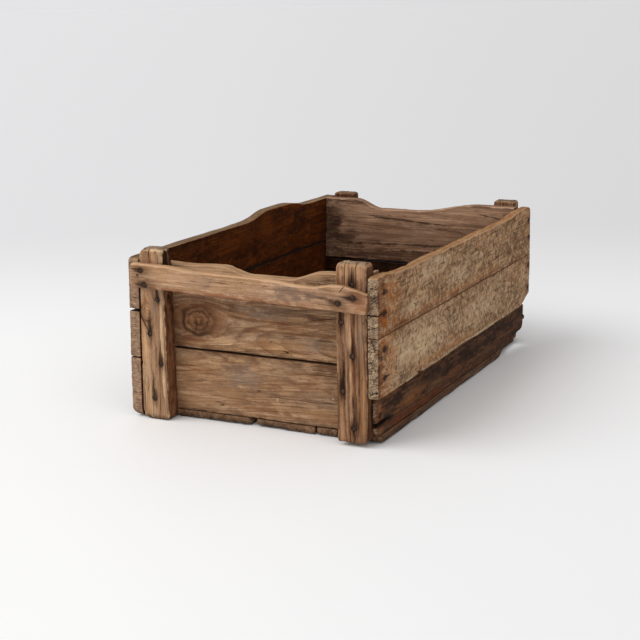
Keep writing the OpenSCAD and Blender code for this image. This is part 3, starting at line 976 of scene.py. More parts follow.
@dataclass
class Board:
    """One worn board.

    Lengths are millimetres in the board's own directions: u along the grain, v across the
    face and w through the thickness. Its extent comes from its CAD node. Corner radii run low
    start, high start, high stop, low stop. Tight says how closely the low and the high long
    edge meet the next board, from 0 to 1. Keel is the radius that the outer low edge is worn to
    near the start. Wedge is how much the start is wider than the stop, on the low side.
    """

    node: str
    slot: str
    look: WoodLook
    place: Matrix
    seed: int
    corners: Tuple[float, float, float, float] = (3, 3, 3, 3)
    high_wear: Tuple[Wear, ...] = ()
    low_wear: Tuple[Wear, ...] = ()
    extra_wear: Tuple[Wear, ...] = ()
    round_edge: float = 1.9
    round_end: float = 1.8
    round_top: float = 0.0
    flutes: float = 24.0
    tight: Tuple[float, float] = (0.0, 0.0)
    ragged: float = 1.0
    keel: float = 0.0
    lean: float = 0.0
    wedge: float = 0.0
    cracks: Tuple[Crack, ...] = ()
    dents: Tuple[Dent, ...] = ()
    low: np.ndarray = field(default=None, repr=False)
    high: np.ndarray = field(default=None, repr=False)
    outward: int = 1

    def __post_init__(self) -> None:
        """Reads the board's extent, and which way it faces, from its CAD node."""
        back = np.array(self.place.inverted())[:3]
        rows = np.array([v.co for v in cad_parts[self.node].data.vertices])
        local = rows @ back[:, :3].T + back[:, 3]
        self.low, self.high = local.min(axis=0), local.max(axis=0)
        self.high[1] -= max([0.0] + [-wear[4] for wear in self.high_wear])
        middle = Vector((rows.min(axis=0) + rows.max(axis=0)) / 2)
        self.outward = 1 if self.place.to_3x3().col[2].dot(middle - CRATE_CENTRE) > 0 else -1

    def radii(self, p: np.ndarray) -> np.ndarray:
        """Radii of the worn rounding at each point, one for each direction."""
        centre = (self.low + self.high) / 2
        side = np.sign(p[:, 1] - centre[1]) * 2 + np.sign(p[:, 2] - centre[2])
        along = np.column_stack([p[:, 0], side * 40, side * 0])
        base = self.round_edge * (1 + 0.6 * grainy(along, (30, 10, 10), self.seed))
        chip = np.maximum(0, grainy(along, (8, 10, 10), self.seed + 5) - 0.35) * 5.5 * self.ragged
        limit = 0.46 * (self.high[2] - self.low[2])
        edge = np.clip((base + chip) * (1 - 0.75 * self.tight_at(p)), 0.4, limit)
        end = np.full(len(p), self.round_end)
        if self.round_top:
            near = ramp((p[:, 0] - (self.high[0] - 3 * self.round_top)) / (3 * self.round_top))
            end = end + near * (self.round_top - self.round_end)
            edge = np.clip(edge + near * self.round_top * 0.45, 0.5, limit)
        across = edge
        if self.keel:
            lowest = (p[:, 1] < centre[1]) & ((p[:, 2] - centre[2]) * self.outward > 0)
            near = ramp((self.low[0] + 120 - p[:, 0]) / 80) * lowest
            across = edge + near * (self.keel - edge)
            edge = edge + near * (min(self.keel, limit) - edge)
        return np.column_stack([end, across, edge])

    def tight_at(self, p: np.ndarray) -> np.ndarray:
        """How closely the nearer long edge meets the next board, at each point."""
        return np.where(p[:, 1] * 2 < self.low[1] + self.high[1], *self.tight)

    def shape(self, p: np.ndarray) -> Tuple[np.ndarray, Dict[str, np.ndarray]]:
        """Wears a plain block down.

        Args:
            p: Points on the block's faces.

        Returns:
            The moved points, and for each how much it lies on a worn edge, near a face's rim
            or in a groove.
        """
        radii = self.radii(p)
        core = np.clip(p, self.low + radii, self.high - radii)
        out = (p - core) / radii
        out /= np.linalg.norm(out, axis=1)[:, None]
        q = core + out * radii
        edge = ramp((1 - np.abs(out).max(axis=1)) / 0.18)
        inset = np.minimum(p - self.low, self.high - p)[:, :2].min(axis=1)
        rim = np.exp(-inset / 4.5) * np.where(np.abs(out[:, 2]) > 0.5, 1.0, 0.3)
        flute = self.fluted(q, out)
        q = q - out * (self.sunk(q, out) + 1.3 * flute)[:, None]
        for dent in self.dents:
            far = ((q[:, 0] - dent.u) / dent.long) ** 2 + ((q[:, 1] - dent.v) / dent.wide) ** 2
            facing = np.clip(out[:, 2] * self.outward, 0, 1)
            q[:, 2] -= self.outward * dent.depth * np.exp(-far) * facing
        q = self.cornered(q)
        span = self.high[1] - self.low[1]
        share = np.clip((q[:, 1] - self.low[1]) / span, 0, 1)
        q[:, 1] -= wear_at(q[:, 0], self.high_wear + self.extra_wear) * share ** 1.5
        q[:, 1] += wear_at(q[:, 0], self.low_wear) * (1 - share) ** 1.5
        reach = (self.high[0] - q[:, 0]) / (self.high[0] - self.low[0])
        q[:, 0] += reach * share * span * math.tan(self.lean)
        q[:, 1] -= reach * (1 - share) * self.wedge
        seam = np.sign(self.tight_at(p)) * ramp(np.abs(out[:, 1]) * 2 - 0.5)
        marks = {"edge": edge, "rim": rim, "flute": flute, "seam": seam}
        return q, dict(marks, cleft=np.zeros(len(q)))

    def sunk(self, q: np.ndarray, out: np.ndarray) -> np.ndarray:
        """Depth of uneven wear: long ridges on the faces, broken fibres on the ends.

        Args:
            q: Points on the rounded block.
            out: Outward direction at each point.

        Returns:
            How far each point lies below the block's surface.
        """
        seed = self.seed
        ridge = grainy(q, (95, 6.5, 6.5), seed + 1) + 0.5 * grainy(q, (40, 3.4, 3.4), seed + 2)
        ridge += 0.35 * grainy(q, (26, 2.0, 2.0), seed + 7)
        swell = grainy(q, (60, 22, 22), seed + 3)
        fray = grainy(q, (12, 2.6, 3.2), seed + 4)
        face = 1 - np.abs(out[:, 0])
        sunk = face * (0.17 * (ridge + 1.85) + 0.24 * (swell + 1)) * self.ragged
        sunk += (1 - face) * (0.5 * (fray + 1) + 0.35 * (swell + 1)) * self.ragged
        if self.look.sawn:
            strokes = grainy(q, (3.4, 12, 12), seed + 8)
            sunk += 0.12 * self.look.sawn * (strokes + 1) * np.abs(out[:, 2])
        return sunk * (1 - 0.95 * self.tight_at(q) * np.abs(out[:, 1]))

    def fluted(self, q: np.ndarray, out: np.ndarray) -> np.ndarray:
        """How deep each point lies in the weathered grooves below a post's top, from 0 to 1."""
        if not self.round_top:
            return np.zeros(len(q))
        near = ramp((q[:, 0] - (self.high[0] - self.flutes)) / (0.6 * self.flutes))
        groove = np.clip(grainy(q, (90, 3.0, 3.0), self.seed + 6) * 1.8 - 0.55, 0, 1)
        return near * groove * np.clip(1.15 - np.abs(out[:, 0]), 0, 1)

    def cornered(self, q: np.ndarray) -> np.ndarray:
        """Rounds the four corners of the face."""
        ends = ((0, 0), (0, 1), (1, 1), (1, 0))
        for radius, (at_u, at_v) in zip(self.corners, ends):
            if radius <= 0:
                continue
            toward_u, toward_v = at_u * 2 - 1, at_v * 2 - 1
            corner_u = (self.high if at_u else self.low)[0]
            corner_v = (self.high if at_v else self.low)[1]
            a = (q[:, 0] - (corner_u - toward_u * radius)) * toward_u / radius
            b = (q[:, 1] - (corner_v - toward_v * radius)) * toward_v / radius
            inside = (a > 0) & (b > 0)
            a1, b1 = np.clip(a, 0, 1), np.clip(b, 0, 1)
            new_a, new_b = a1 * np.sqrt(1 - b1 ** 2 / 2), b1 * np.sqrt(1 - a1 ** 2 / 2)
            q[inside, 0] += (new_a - a1)[inside] * radius * toward_u
            q[inside, 1] += (new_b - b1)[inside] * radius * toward_v
        return q

    def crack_cutter(self, crack: Crack, number: int) -> bpy.types.Object:
        """Makes the thin wedge that cuts one crack."""
        stations = np.linspace(crack.start, crack.stop,
                               max(6, int((crack.stop - crack.start) / 4)))
        cutter = block("cutter", [stations, np.array([0.0, 1.0]), np.array([0.0, 1.0])])
        rows = coordinates(cutter)
        t = (rows[:, 0] - crack.start) / (crack.stop - crack.start)
        opening = np.ones(len(t))
        if crack.start > self.low[0]:
            opening *= np.clip(t * 2.2, 0, 1) ** 0.7
        if crack.stop < self.high[0]:
            opening *= np.clip((1 - t) * 2.2, 0, 1) ** 0.7
        path = np.column_stack([rows[:, 0], t * 0 + number * 9, t * 0])
        sway = 0.9 * grainy(path, (26, 5, 5), self.seed + 11)
        sway += 0.4 * grainy(path, (8, 5, 5), self.seed + 12)
        wide = crack.width * opening * (0.75 + 0.35 * grainy(path, (11, 5, 5), self.seed + 13))
        top = rows[:, 2] > 0.5
        root = wide * 0.36 if crack.width > 3 else np.minimum(wide * 0.12, 0.15)
        half = np.where(top, wide / 2 + 0.02, root + 0.01)
        middle = crack.v + sway + crack.drift * t
        rows[:, 1] = middle + np.where(rows[:, 1] > 0.5, half, -half)
        side = self.outward if crack.outside else -self.outward
        face = self.high[2] if side > 0 else self.low[2]
        deep = crack.depth * (0.25 + 0.75 * opening)
        rows[:, 2] = np.where(top, face + side * 1.5, face - side * deep)
        set_coordinates(cutter, rows)
        return cutter

    def seat_cutter(self, nail: Place) -> bpy.types.Object:
        """Makes the round cutter for the seat of one nail head."""
        side = 1 if nail[2] > (self.low[2] + self.high[2]) / 2 else -1
        face = self.high[2] if side > 0 else self.low[2]
        bpy.ops.object.select_all(action="DESELECT")
        bpy.ops.mesh.primitive_cylinder_add(vertices=20, radius=4.0, depth=4.0)
        cutter = bpy.context.object
        set_coordinates(cutter, coordinates(cutter) + (nail[0], nail[1], face + side * 0.2))
        return cutter

    def build(self, nails: Sequence[Place]) -> bpy.types.Object:
        """Models the board.

        Args:
            nails: Places of the nail heads on it, in its own millimetres.

        Returns:
            The finished board, in the crate's metres.
        """
        fine, coarse = (0.9, 0.6, 0.7), (3.4, 1.9, 2.0)
        piece = block(self.node + "_worn", [spaced(*ends) for ends in
                                            zip(self.low, self.high, fine, coarse)])
        rows, marks = self.shape(coordinates(piece))
        set_coordinates(piece, rows)
        for name, values in marks.items():
            set_values(piece, name, values)
        cutters = [self.crack_cutter(crack, i) for i, crack in enumerate(self.cracks)]
        cutters += [self.seat_cutter(nail) for nail in nails]
        for cutter in cutters:
            face_outwards(cutter)
            set_values(cutter, "cleft", np.ones(len(cutter.data.vertices)))
        cut_away(piece, cutters)
        face_outwards(piece, weld=0.004)
        turned = np.array(self.place)[:3]
        set_coordinates(piece, coordinates(piece) @ turned[:, :3].T + turned[:, 3])
        bpy.ops.object.shade_smooth_by_angle(angle=math.radians(38))
        return piece

    def dress(self, piece: bpy.types.Object, effects: Effects, nails: Sequence[Place]) -> None:
        """Gives the board its material and puts it in its CAD node's stead."""
        piece.data.materials.clear()
        piece.data.materials.append(WoodFinish(self.look, effects).build(self, nails))
        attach(piece, "root")
        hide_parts(self.node)
        log.info("%s: %d faces", piece.name, len(piece.data.polygons))


# Nails


@dataclass
class NailSet:
    """The nails of one CAD node, all driven the same way."""

    node: str
    outward: Place
    length: float
    seed: int
    heads: List[Vector] = field(default_factory=list)

    def find(self) -> None:
        """Reads the places of the nail heads from the CAD node."""
        axis = np.array(Vector(self.outward).normalized())
        rows = np.array([v.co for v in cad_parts[self.node].data.vertices])
        depth = rows @ axis
        flat = rows - depth[:, None] * axis
        left = np.ones(len(rows), bool)
        while left.any():
            near = np.linalg.norm(flat - flat[left][0], axis=1) < 0.0105
            group = near & left
            top = group & (depth > depth[group].max() - 0.002)
            centre = (flat[top].max(axis=0) + flat[top].min(axis=0)) / 2
            self.heads.append(Vector(centre + depth[group].max() * axis))
            left &= ~group

    def one(self) -> bpy.types.Object:
        """Models one nail, with its point at the origin and its head up."""
        bpy.ops.object.select_all(action="DESELECT")
        bpy.ops.mesh.primitive_circle_add(vertices=18, radius=0.0004, fill_type="NGON")
        nail = bpy.context.object
        bpy.ops.object.mode_set(mode="EDIT")
        bpy.ops.mesh.select_all(action="SELECT")
        profile = ((0.0016, 0.005), (0.0016, self.length * MM - 0.0052), (0.0034, 0.0002),
                   (0.0036, 0.0005), (0.0034, 0.0005), (0.0026, 0.0003), (0.0014, 0.0002))
        size = 0.0004
        for radius, rise in profile:
            bpy.ops.mesh.extrude_region_move(TRANSFORM_OT_translate={"value": (0, 0, rise)})
            bpy.ops.transform.resize(value=(radius / size, radius / size, 1))
            size = radius
        bpy.ops.object.mode_set(mode="OBJECT")
        face_outwards(nail)
        bpy.ops.object.shade_smooth_by_angle(angle=math.radians(50))
        return nail

    def build(self, iron: bpy.types.Material) -> None:
        """Copies one nail to every place and dresses the set."""
        nail = self.one()
        top = coordinates(nail)[:, 2].max()
        copies = []
        draw = np.random.default_rng(self.seed)
        facing = Vector(self.outward).to_track_quat("Z", "Y").to_matrix().to_4x4()
        for head in self.heads:
            copy = nail.copy()
            copy.data = nail.data.copy()
            bpy.context.collection.objects.link(copy)
            lean = Matrix.Rotation(draw.uniform(-0.05, 0.05), 4, "X")
            roll = Matrix.Rotation(draw.uniform(0, 6.2), 4, "Z")
            rows = coordinates(copy)
            rows[:, 2] -= top
            rows *= 1 + 0.05 * grainy(rows * 1000, (2.4, 2.4, 2.4), int(draw.integers(99)))[:, None]
            set_coordinates(copy, rows)
            rise = Matrix.Translation((0, 0, draw.uniform(-0.0002, 0.0001)))
            copy.data.transform(Matrix.Translation(head) @ facing @ lean @ roll @ rise)
            copies.append(copy)
        bpy.data.objects.remove(nail, do_unlink=True)
        edit(copies[0])
        for copy in copies:
            copy.select_set(True)
        bpy.ops.object.join()
        piece = bpy.context.view_layer.objects.active
        piece.name = self.node + "_worn"
        piece.data.name = piece.name
        piece.data.materials.clear()
        piece.data.materials.append(iron)
        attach(piece, "root")
        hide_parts(self.node)
        log.info("%s: %d nails", piece.name, len(self.heads))


# Tones of the crate's woods

FRONT_TONE = WoodTone(pale="#caa580", mid="#ab845f", deep="#5c3e2a", late="#7e4c32", grey="#8b7869",
                      warm="#b6875c", top="#b08c6a", end_pale="#a08468", end_deep="#4d3627")
KNOTTY_TONE = WoodTone(pale="#d8ae86", mid="#9d734e", deep="#4a3020", late="#6e4026",
                       grey="#877668", warm="#b08052", top="#bd9770", end_pale="#a08468",
                       end_deep="#4d3627")
REAR_TONE = WoodTone(pale="#dcb596", mid="#b58d70", deep="#4e3427", late="#6a4636", grey="#957a62",
                     warm="#c89a72", top="#a98565", end_pale="#a08468", end_deep="#4d3627",
                     inner="#e8d3bc", dirt="#2a1a13")
LEFT_POST_TONE = WoodTone(pale="#ebc59c", mid="#d6a97f", deep="#684630", late="#7d4f36",
                          grey="#98856f", warm="#cc9c6e", top="#b89c80", end_pale="#b89c80",
                          end_deep="#5c4838", inner="#a58268", dirt="#2a1a11")
RIGHT_POST_TONE = WoodTone(pale="#c69a75", mid="#9f7350", deep="#3e2417", late="#5a3321",
                           grey="#8f7c69", warm="#bc834f", top="#c4a584", end_pale="#c4a584",
                           end_deep="#5c4533", inner="#a58268", dirt="#22140e")
RAIL_TONE = WoodTone(pale="#d0aa87", mid="#b9916f", deep="#71513b", late="#955c3c", grey="#857264",
                     warm="#cb9e70", top="#c9a078", end_pale="#a36d48", end_deep="#5a3522",
                     inner="#8f6648", dirt="#402c20")
SIDE_TONE = WoodTone(pale="#a88661", mid="#82644a", deep="#3c281b", late="#5e3c27", grey="#8a7a68",
                     warm="#ba8a54", top="#957859", end_pale="#b39276", end_deep="#5f4737",
                     inner="#da8c2c", dirt="#1a0e07")
BLEACHED_TONE = WoodTone(pale="#c9a077", mid="#aa8159", deep="#573a27", late="#7a4524",
                         grey="#d0b38f", warm="#b0651f", top="#b3814f", end_pale="#c8aa8a",
                         end_deep="#33241b", inner="#b0805c", dirt="#332217")
DARK_TONE = WoodTone(pale="#906541", mid="#5e3821", deep="#25140c", late="#70391a", grey="#6e5240",
                     warm="#8e5a32", top="#6a4630", end_pale="#9a7c62", end_deep="#3a2920",
                     dirt="#120906")
FLOOR_TONE = WoodTone(pale="#9a7559", mid="#7c5a42", deep="#3b281c", late="#5c3a26", grey="#80705f",
                      warm="#9c7049", top="#8a694f", end_pale="#967458", end_deep="#3c291d",
                      inner="#a07a5c", dirt="#24160f")

# Looks of the boards, with the marks that each one bears

FRONT_LOWER = WoodLook(
    FRONT_TONE, pith=(90, 300), gap=4.4, taper=0.09, late=0.48, fibre=0.18, weather=0.42, glow=0.4,
    checks=0.15, marked=0.4, mottle=0.55, seam=Mark.DARK, spots=(
        Spot(Mark.GREY, -20, 70, 34, 18, 0.65), Spot(Mark.DARK, -32, 75, 24, 7, 0.5),
        Spot(Mark.WARM, -100, 56, 34, 40, 0.3), Spot(Mark.DARK, 93, 91, 26, 8, 0.6), Spot(Mark.RED, -12, 26, 120, 2.6, 0.45, -0.061),
        Spot(Mark.WARM, -55, 40, 34, 10, 0.35), Spot(Mark.WARM, 90, 30, 40, 8, 0.3),
        Spot(Mark.RED, -106, 71, 36, 3, 0.5, -0.13), Spot(Mark.PALE, 29, 41.5, 2.2, 4.5, 0.9),
        Spot(Mark.PALE, 111, 52.5, 1.8, 1.8, 0.8), Spot(Mark.BLACK, 2, 50.7, 3.5, 1.2, 0.9),
        Spot(Mark.BLACK, -16, 47.2, 3.5, 1.2, 0.7), Spot(Mark.RED, 40, 62, 50, 2.4, 0.4, 0.04),
        Spot(Mark.PALE, -80, 30, 40, 8, 0.3)))
# The broad pale patches along the top (v 214 and 216) are painted light, lifting the strip behind the rail
# out of the rail's shade.
FRONT_UPPER = WoodLook(
    KNOTTY_TONE, pith=(120, 315), gap=5.0, taper=-0.12, late=0.58, fibre=0.26, weather=0.42,
    glow=0.35, crown=0.8, checks=0.15, marked=0.4, mottle=0.4, seam=Mark.DARK,
    knots=(Knot(-88.0, 138.5, 20.5, 0.75),), spots=(
        Spot(Mark.BLACK, -91, 135, 1.8, 14, 1.0), Spot(Mark.GREY, 15, 158, 50, 9, 0.5),
        Spot(Mark.DARK, 25, 160, 36, 7, 0.55), Spot(Mark.DARK, -35, 161, 10, 8, 0.6),
        Spot(Mark.DARK, 88, 156, 17, 5, 0.6), Spot(Mark.GREY, 84, 119, 14, 8, 0.6),
        Spot(Mark.WARM, 30, 116, 60, 8, 0.4), Spot(Mark.PALE, -45, 112, 40, 8, 0.5),
        Spot(Mark.RED, 10, 146, 80, 2.4, 0.6, -0.05), Spot(Mark.RED, 40, 132, 70, 2.0, 0.4, 0.03),
        Spot(Mark.DARK, -124, 130, 8, 34, 0.5), Spot(Mark.PALE, -40, 216, 150, 40, 1.0),
        Spot(Mark.RED, -84, 160, 30, 2.0, 0.6, 0.1), Spot(Mark.PALE, 80, 214, 60, 12, 0.6)))
# Painted shade: this board, low inside the crate, is darkened by its dark inner tone at full strength and
# by one dark patch over the whole board.
REAR_LOWER = WoodLook(replace(REAR_TONE, deep="#3c261a", inner="#7c5b40"), pith=(60, -200),
                      gap=5.0, taper=0.04, late=0.5, inner=1.0,
                      spots=(Spot(Mark.DARK, 0, 50, 400, 110, 1.0),))
# Painted light and shade on the crate's inside: the pale patches near the top edge paint a lit band, and
# the dark and black patches at the left and the dark band low down along the seam paint shade. The thin
# black lines are cracks.
REAR_UPPER = WoodLook(
    REAR_TONE, pith=(170, -310), gap=6.5, taper=0.05, late=0.5, inner=0.3, glow=0.3, fibre=0.32,
    checks=0.12, marked=0.4, mottle=0.4, spots=(
        Spot(Mark.BLACK, -152, 180, 24, 36, 0.6),
        Spot(Mark.BLACK, -5, 192, 95, 1.8, 0.9, -0.064), Spot(Mark.BLACK, 47, 181, 20, 1.6, 0.9),
        Spot(Mark.BLACK, 129, 207, 22, 1.8, 0.9, -0.15), Spot(Mark.PALE, -50, 206, 90, 9, 0.5),
        Spot(Mark.PALE, 90, 213, 80, 8, 0.6), Spot(Mark.DARK, -127, 157, 24, 22, 0.8),
        Spot(Mark.GREY, 20, 165, 100, 14, 0.5), Spot(Mark.DARK, -145, 195, 16, 26, 0.7),
        Spot(Mark.DARK, 0, 132, 300, 13, 0.85), Spot(Mark.BLACK, -20, 152, 120, 2.2, 0.9, 0.02),
        Spot(Mark.PALE, 40, 196, 60, 6, 0.5), Spot(Mark.BLACK, 30, 142, 90, 1.8, 0.7, 0.03),
        Spot(Mark.BLACK, -150, 186, 22, 2.4, 0.8, -0.1)))
LEFT_LOOK = WoodLook(SIDE_TONE, pith=(600, 8), gap=3.2, taper=0.03, late=0.5, sawn=0.4, inner=0.97,
                     glow=0.9, weather=0.6, mottle=0.65, fibre=0.7, crown=0.85, marked=0.8, pitted=0.2,
                     spots=(
                         Spot(Mark.BLACK, 97, 219, 3.5, 3.5, 1.0), Spot(Mark.BLACK, 160, 196, 50, 20, 0.45),
                         Spot(Mark.BLACK, 92, 224, 26, 12, 0.5), Spot(Mark.PALE, 58, 206, 26, 24, 0.4),
                         Spot(Mark.BLACK, 0, 180, 60, 12, 0.5), Spot(Mark.BLACK, -130, 192, 50, 14, 0.4),
                         Spot(Mark.PALE, -60, 198, 40, 16, 0.35)))
RIGHT_UPPER = WoodLook(
    BLEACHED_TONE, pith=(500, 8), gap=4.5, late=0.2, sawn=0.75, weather=0.55, glow=0.2,
    fibre=0.12, checks=0.12, grime=0.3, crown=0.62, pitted=0.42, mottle=0.42, seam=Mark.RED,
    rust=(14, 9),
    spots=(
        Spot(Mark.RED, -296, 188, 20, 60, 0.9), Spot(Mark.WARM, -284, 166, 14, 22, 1.0),
        Spot(Mark.WARM, -262, 186, 30, 50, 0.45),
        Spot(Mark.BLACK, -292, 175, 16, 5, 1.0), Spot(Mark.BLACK, -288, 210, 8, 8, 0.7), Spot(Mark.BLACK, -301, 192, 5, 26, 0.7),
        Spot(Mark.RED, 0, 222, 330, 5, 0.6), Spot(Mark.RED, 0, 148, 330, 4.0, 0.6),
        Spot(Mark.WARM, -60, 153, 240, 4, 0.35),
        Spot(Mark.GREY, -108, 201, 70, 14, 0.6), Spot(Mark.GREY, -27, 172, 60, 16, 0.6),
        Spot(Mark.GREY, -186, 163, 45, 10, 0.6), Spot(Mark.DARK, 86, 166, 24, 22, 0.5),
        Spot(Mark.DARK, 225, 180, 80, 40, 0.3), Spot(Mark.DARK, -230, 200, 30, 14, 0.4)))
RIGHT_MIDDLE = WoodLook(
    replace(BLEACHED_TONE, pale="#d2aa80", mid="#b48b65"), pith=(500, 8), gap=4.5, late=0.2, sawn=0.75, weather=0.55, glow=0.2,
    fibre=0.12, checks=0.12, grime=0.3, crown=0.8, pitted=0.42, mottle=0.42, seam=Mark.RED,
    rust=(14, 9),
    spots=(
        Spot(Mark.RED, -298, 105, 18, 60, 0.9), Spot(Mark.DARK, -30, 116, 60, 22, 0.35),
        Spot(Mark.WARM, -266, 112, 22, 50, 0.4),
        Spot(Mark.WARM, -287, 134, 13, 16, 1.0), Spot(Mark.WARM, -290, 84, 9, 20, 0.7),
        Spot(Mark.BLACK, -292, 118, 8, 8, 0.8), Spot(Mark.BLACK, -302, 100, 4, 34, 0.7), Spot(Mark.BLACK, -292, 84, 7, 6, 0.7),
        Spot(Mark.GREY, -160, 110, 90, 24, 0.9), Spot(Mark.GREY, 60, 105, 110, 22, 0.6),
        Spot(Mark.GREY, 0, 67, 330, 3.5, 0.8), Spot(Mark.DARK, 225, 100, 75, 32, 0.3),
        Spot(Mark.WARM, -60, 76, 120, 5, 0.35)))
# The black band along the top edge (v 66) is painted shadow under the pale board that overhangs it.
RIGHT_DARK = WoodLook(
    DARK_TONE, pith=(500, 8), gap=4.0, late=0.8, sawn=0.4, fibre=0.8, weather=0.35, checks=0.6,
    marked=0.8, pitted=0.3, mottle=0.5, spots=(
        Spot(Mark.BLACK, 0, 66, 320, 5, 1.0), Spot(Mark.BLACK, -120, 50, 60, 9, 0.8),
        Spot(Mark.BLACK, 70, 44, 220, 14, 0.75), Spot(Mark.PALE, -292, 44, 16, 16, 1.0),
        Spot(Mark.RED, -150, 16, 120, 8, 1.0), Spot(Mark.BLACK, -225, 48, 34, 12, 0.8),
        Spot(Mark.PALE, -292, 14, 20, 9, 0.9), Spot(Mark.BLACK, -258, 29, 16, 5, 1.0),
        Spot(Mark.PALE, -170, 40, 60, 8, 0.5), Spot(Mark.RED, 120, 12, 60, 3, 0.8),
        Spot(Mark.PALE, -215, 38, 26, 5, 0.4, 0.3), Spot(Mark.WARM, -180, 34, 50, 12, 0.45),
        Spot(Mark.PALE, -95, 34, 36, 5, 0.4), Spot(Mark.WARM, -20, 30, 60, 7, 0.45),
        Spot(Mark.PALE, 60, 27, 40, 3, 0.4), Spot(Mark.BLACK, -140, 31, 12, 4, 0.8),
        Spot(Mark.BLACK, -60, 37, 18, 4, 0.8), Spot(Mark.PALE, -150, 54, 16, 4, 0.5, 0.5)))
LEFT_POST = WoodLook(
    LEFT_POST_TONE, pith=(-170, -370), gap=6.0, taper=0.02, late=0.45, fibre=0.32, weather=0.25,
    rust=(24, 7), flank_shade=(0.3, 1.0), knots=(Knot(149, -153, 10.0, 0.4),), spots=(
        Spot(Mark.WARM, 106, -160, 34, 7, 0.7), Spot(Mark.BLACK, 135, -158.5, 11, 2.0, 0.9, -0.5),
        Spot(Mark.DARK, 142, -149, 30, 2.4, 0.8), Spot(Mark.BLACK, 52, -147.6, 24, 1.4, 0.9),
        Spot(Mark.PALE, 90, -131, 90, 2.6, 0.7), Spot(Mark.WARM, 36, -158, 30, 4, 0.6),
        Spot(Mark.PALE, 118, -153, 14, 4, 0.8), Spot(Mark.DARK, 168, -156, 14, 3, 0.6),
        Spot(Mark.DARK, 90, -142, 40, 1.6, 0.6), Spot(Mark.GREY, 160, -142, 26, 7, 0.5),
        Spot(Mark.BLACK, 205, -124.5, 48, 3.4, 1.0), Spot(Mark.DARK, 152, -156, 16, 2.0, 0.7)))
PLAIN_POST = WoodLook(replace(LEFT_POST_TONE, top="#9c7c60", end_pale="#9c7c60"),
                      pith=(-170, 370), gap=6.0, late=0.6, fibre=0.5, weather=0.3,
                      rust=(22, 7), flank_shade=(0.5, 0.5))
RIGHT_POST = WoodLook(
    RIGHT_POST_TONE, pith=(40, -330), gap=7.5, taper=0.04, late=0.7, fibre=0.4, weather=0.25,
    rust=(26, 9), flank_shade=(0.5, 0.8), spots=(
        Spot(Mark.RED, 110, 152, 100, 2.6, 0.9), Spot(Mark.BLACK, 80, 159, 60, 1.5, 0.7),
        Spot(Mark.PALE, 130, 147, 70, 2.2, 0.7), Spot(Mark.BLACK, 95, 139, 44, 1.5, 0.8),
        Spot(Mark.WARM, 60, 165, 60, 3.5, 0.7), Spot(Mark.PALE, 30, 134, 30, 3.0, 0.6),
        Spot(Mark.BLACK, 40, 150, 34, 1.4, 0.7), Spot(Mark.GREY, 150, 160, 40, 3.0, 0.5),
        Spot(Mark.PALE, 228, 148, 14, 24, 0.7)))
REAR_POST = WoodLook(replace(RIGHT_POST_TONE, top="#9a785c", end_pale="#9a785c"),
                     pith=(40, 330), gap=7.5, taper=0.04, late=0.8, fibre=0.6, weather=0.3,
                     rust=(22, 7), flank_shade=(0.5, 0.5))
# The small pale patches along the top edge (v 10.5 to 13) are partly wear and partly painted highlight.
FRONT_RAIL = WoodLook(
    RAIL_TONE, pith=(60, 280), gap=3.4, late=0.25, fibre=0.28, weather=0.25, checks=0.1,
    mottle=0.38, worn=0.7, crown=0.8, grime=0.35, rust=(7, 16), spots=(
        Spot(Mark.GREY, 68, 1.0, 34, 13, 0.8), Spot(Mark.BLACK, -160, 1.4, 2.6, 2.0, 1.0),
        Spot(Mark.DARK, 72, 0.0, 28, 9, 0.45),
        Spot(Mark.BLACK, 121, -2.5, 15, 3.6, 0.6), Spot(Mark.WARM, -20, 15, 160, 4.5, 0.6),
        Spot(Mark.PALE, -90, 13, 20, 4, 0.9), Spot(Mark.PALE, 32, 12.5, 6, 2.2, 1.0),
        Spot(Mark.PALE, 70, 10.5, 18, 2.0, 1.0), Spot(Mark.RED, -20, -16, 170, 6, 0.8),
        Spot(Mark.DARK, -135, 5, 18, 1.4, 0.6), Spot(Mark.DARK, -138, -3, 14, 1.2, 0.5),
        Spot(Mark.GREY, -60, -1, 44, 8, 0.25), Spot(Mark.RED, 162, 0, 14, 20, 0.6),
        Spot(Mark.PALE, -100, 2, 40, 8, 0.5)))
REAR_RAIL = WoodLook(RAIL_TONE, pith=(60, -280), gap=8.0, late=0.3, fibre=0.35, weather=0.4,
                     checks=0.4, worn=0.7)


# The crate's parts


def board_nails(board: Board, sets: Sequence[NailSet]) -> List[Place]:
    """Finds the nails whose heads lie on a board's faces.

    Args:
        board: The board.
        sets: Every set of nails.

    Returns:
        Their places, in the board's own millimetres.
    """
    back = board.place.inverted()
    found = []
    for nails in sets:
        for head in nails.heads:
            u, v, w = back @ head
            along = board.low[0] < u < board.high[0] and board.low[1] < v < board.high[1]
            if along and min(abs(w - board.low[2]), abs(w - board.high[2])) < 1.5:
                found.append((u, v, w))
    return found


@dataclass
class Assembly:
    """A part of the crate made of boards."""

    boards: List[Board] = field(default_factory=list)

    def finish(self, effects: Effects, nails: Sequence[NailSet]) -> None:
        """Models and dresses every board of the part."""
        for board in self.boards:
            places = board_nails(board, nails)
            board.dress(board.build(places), effects, places)


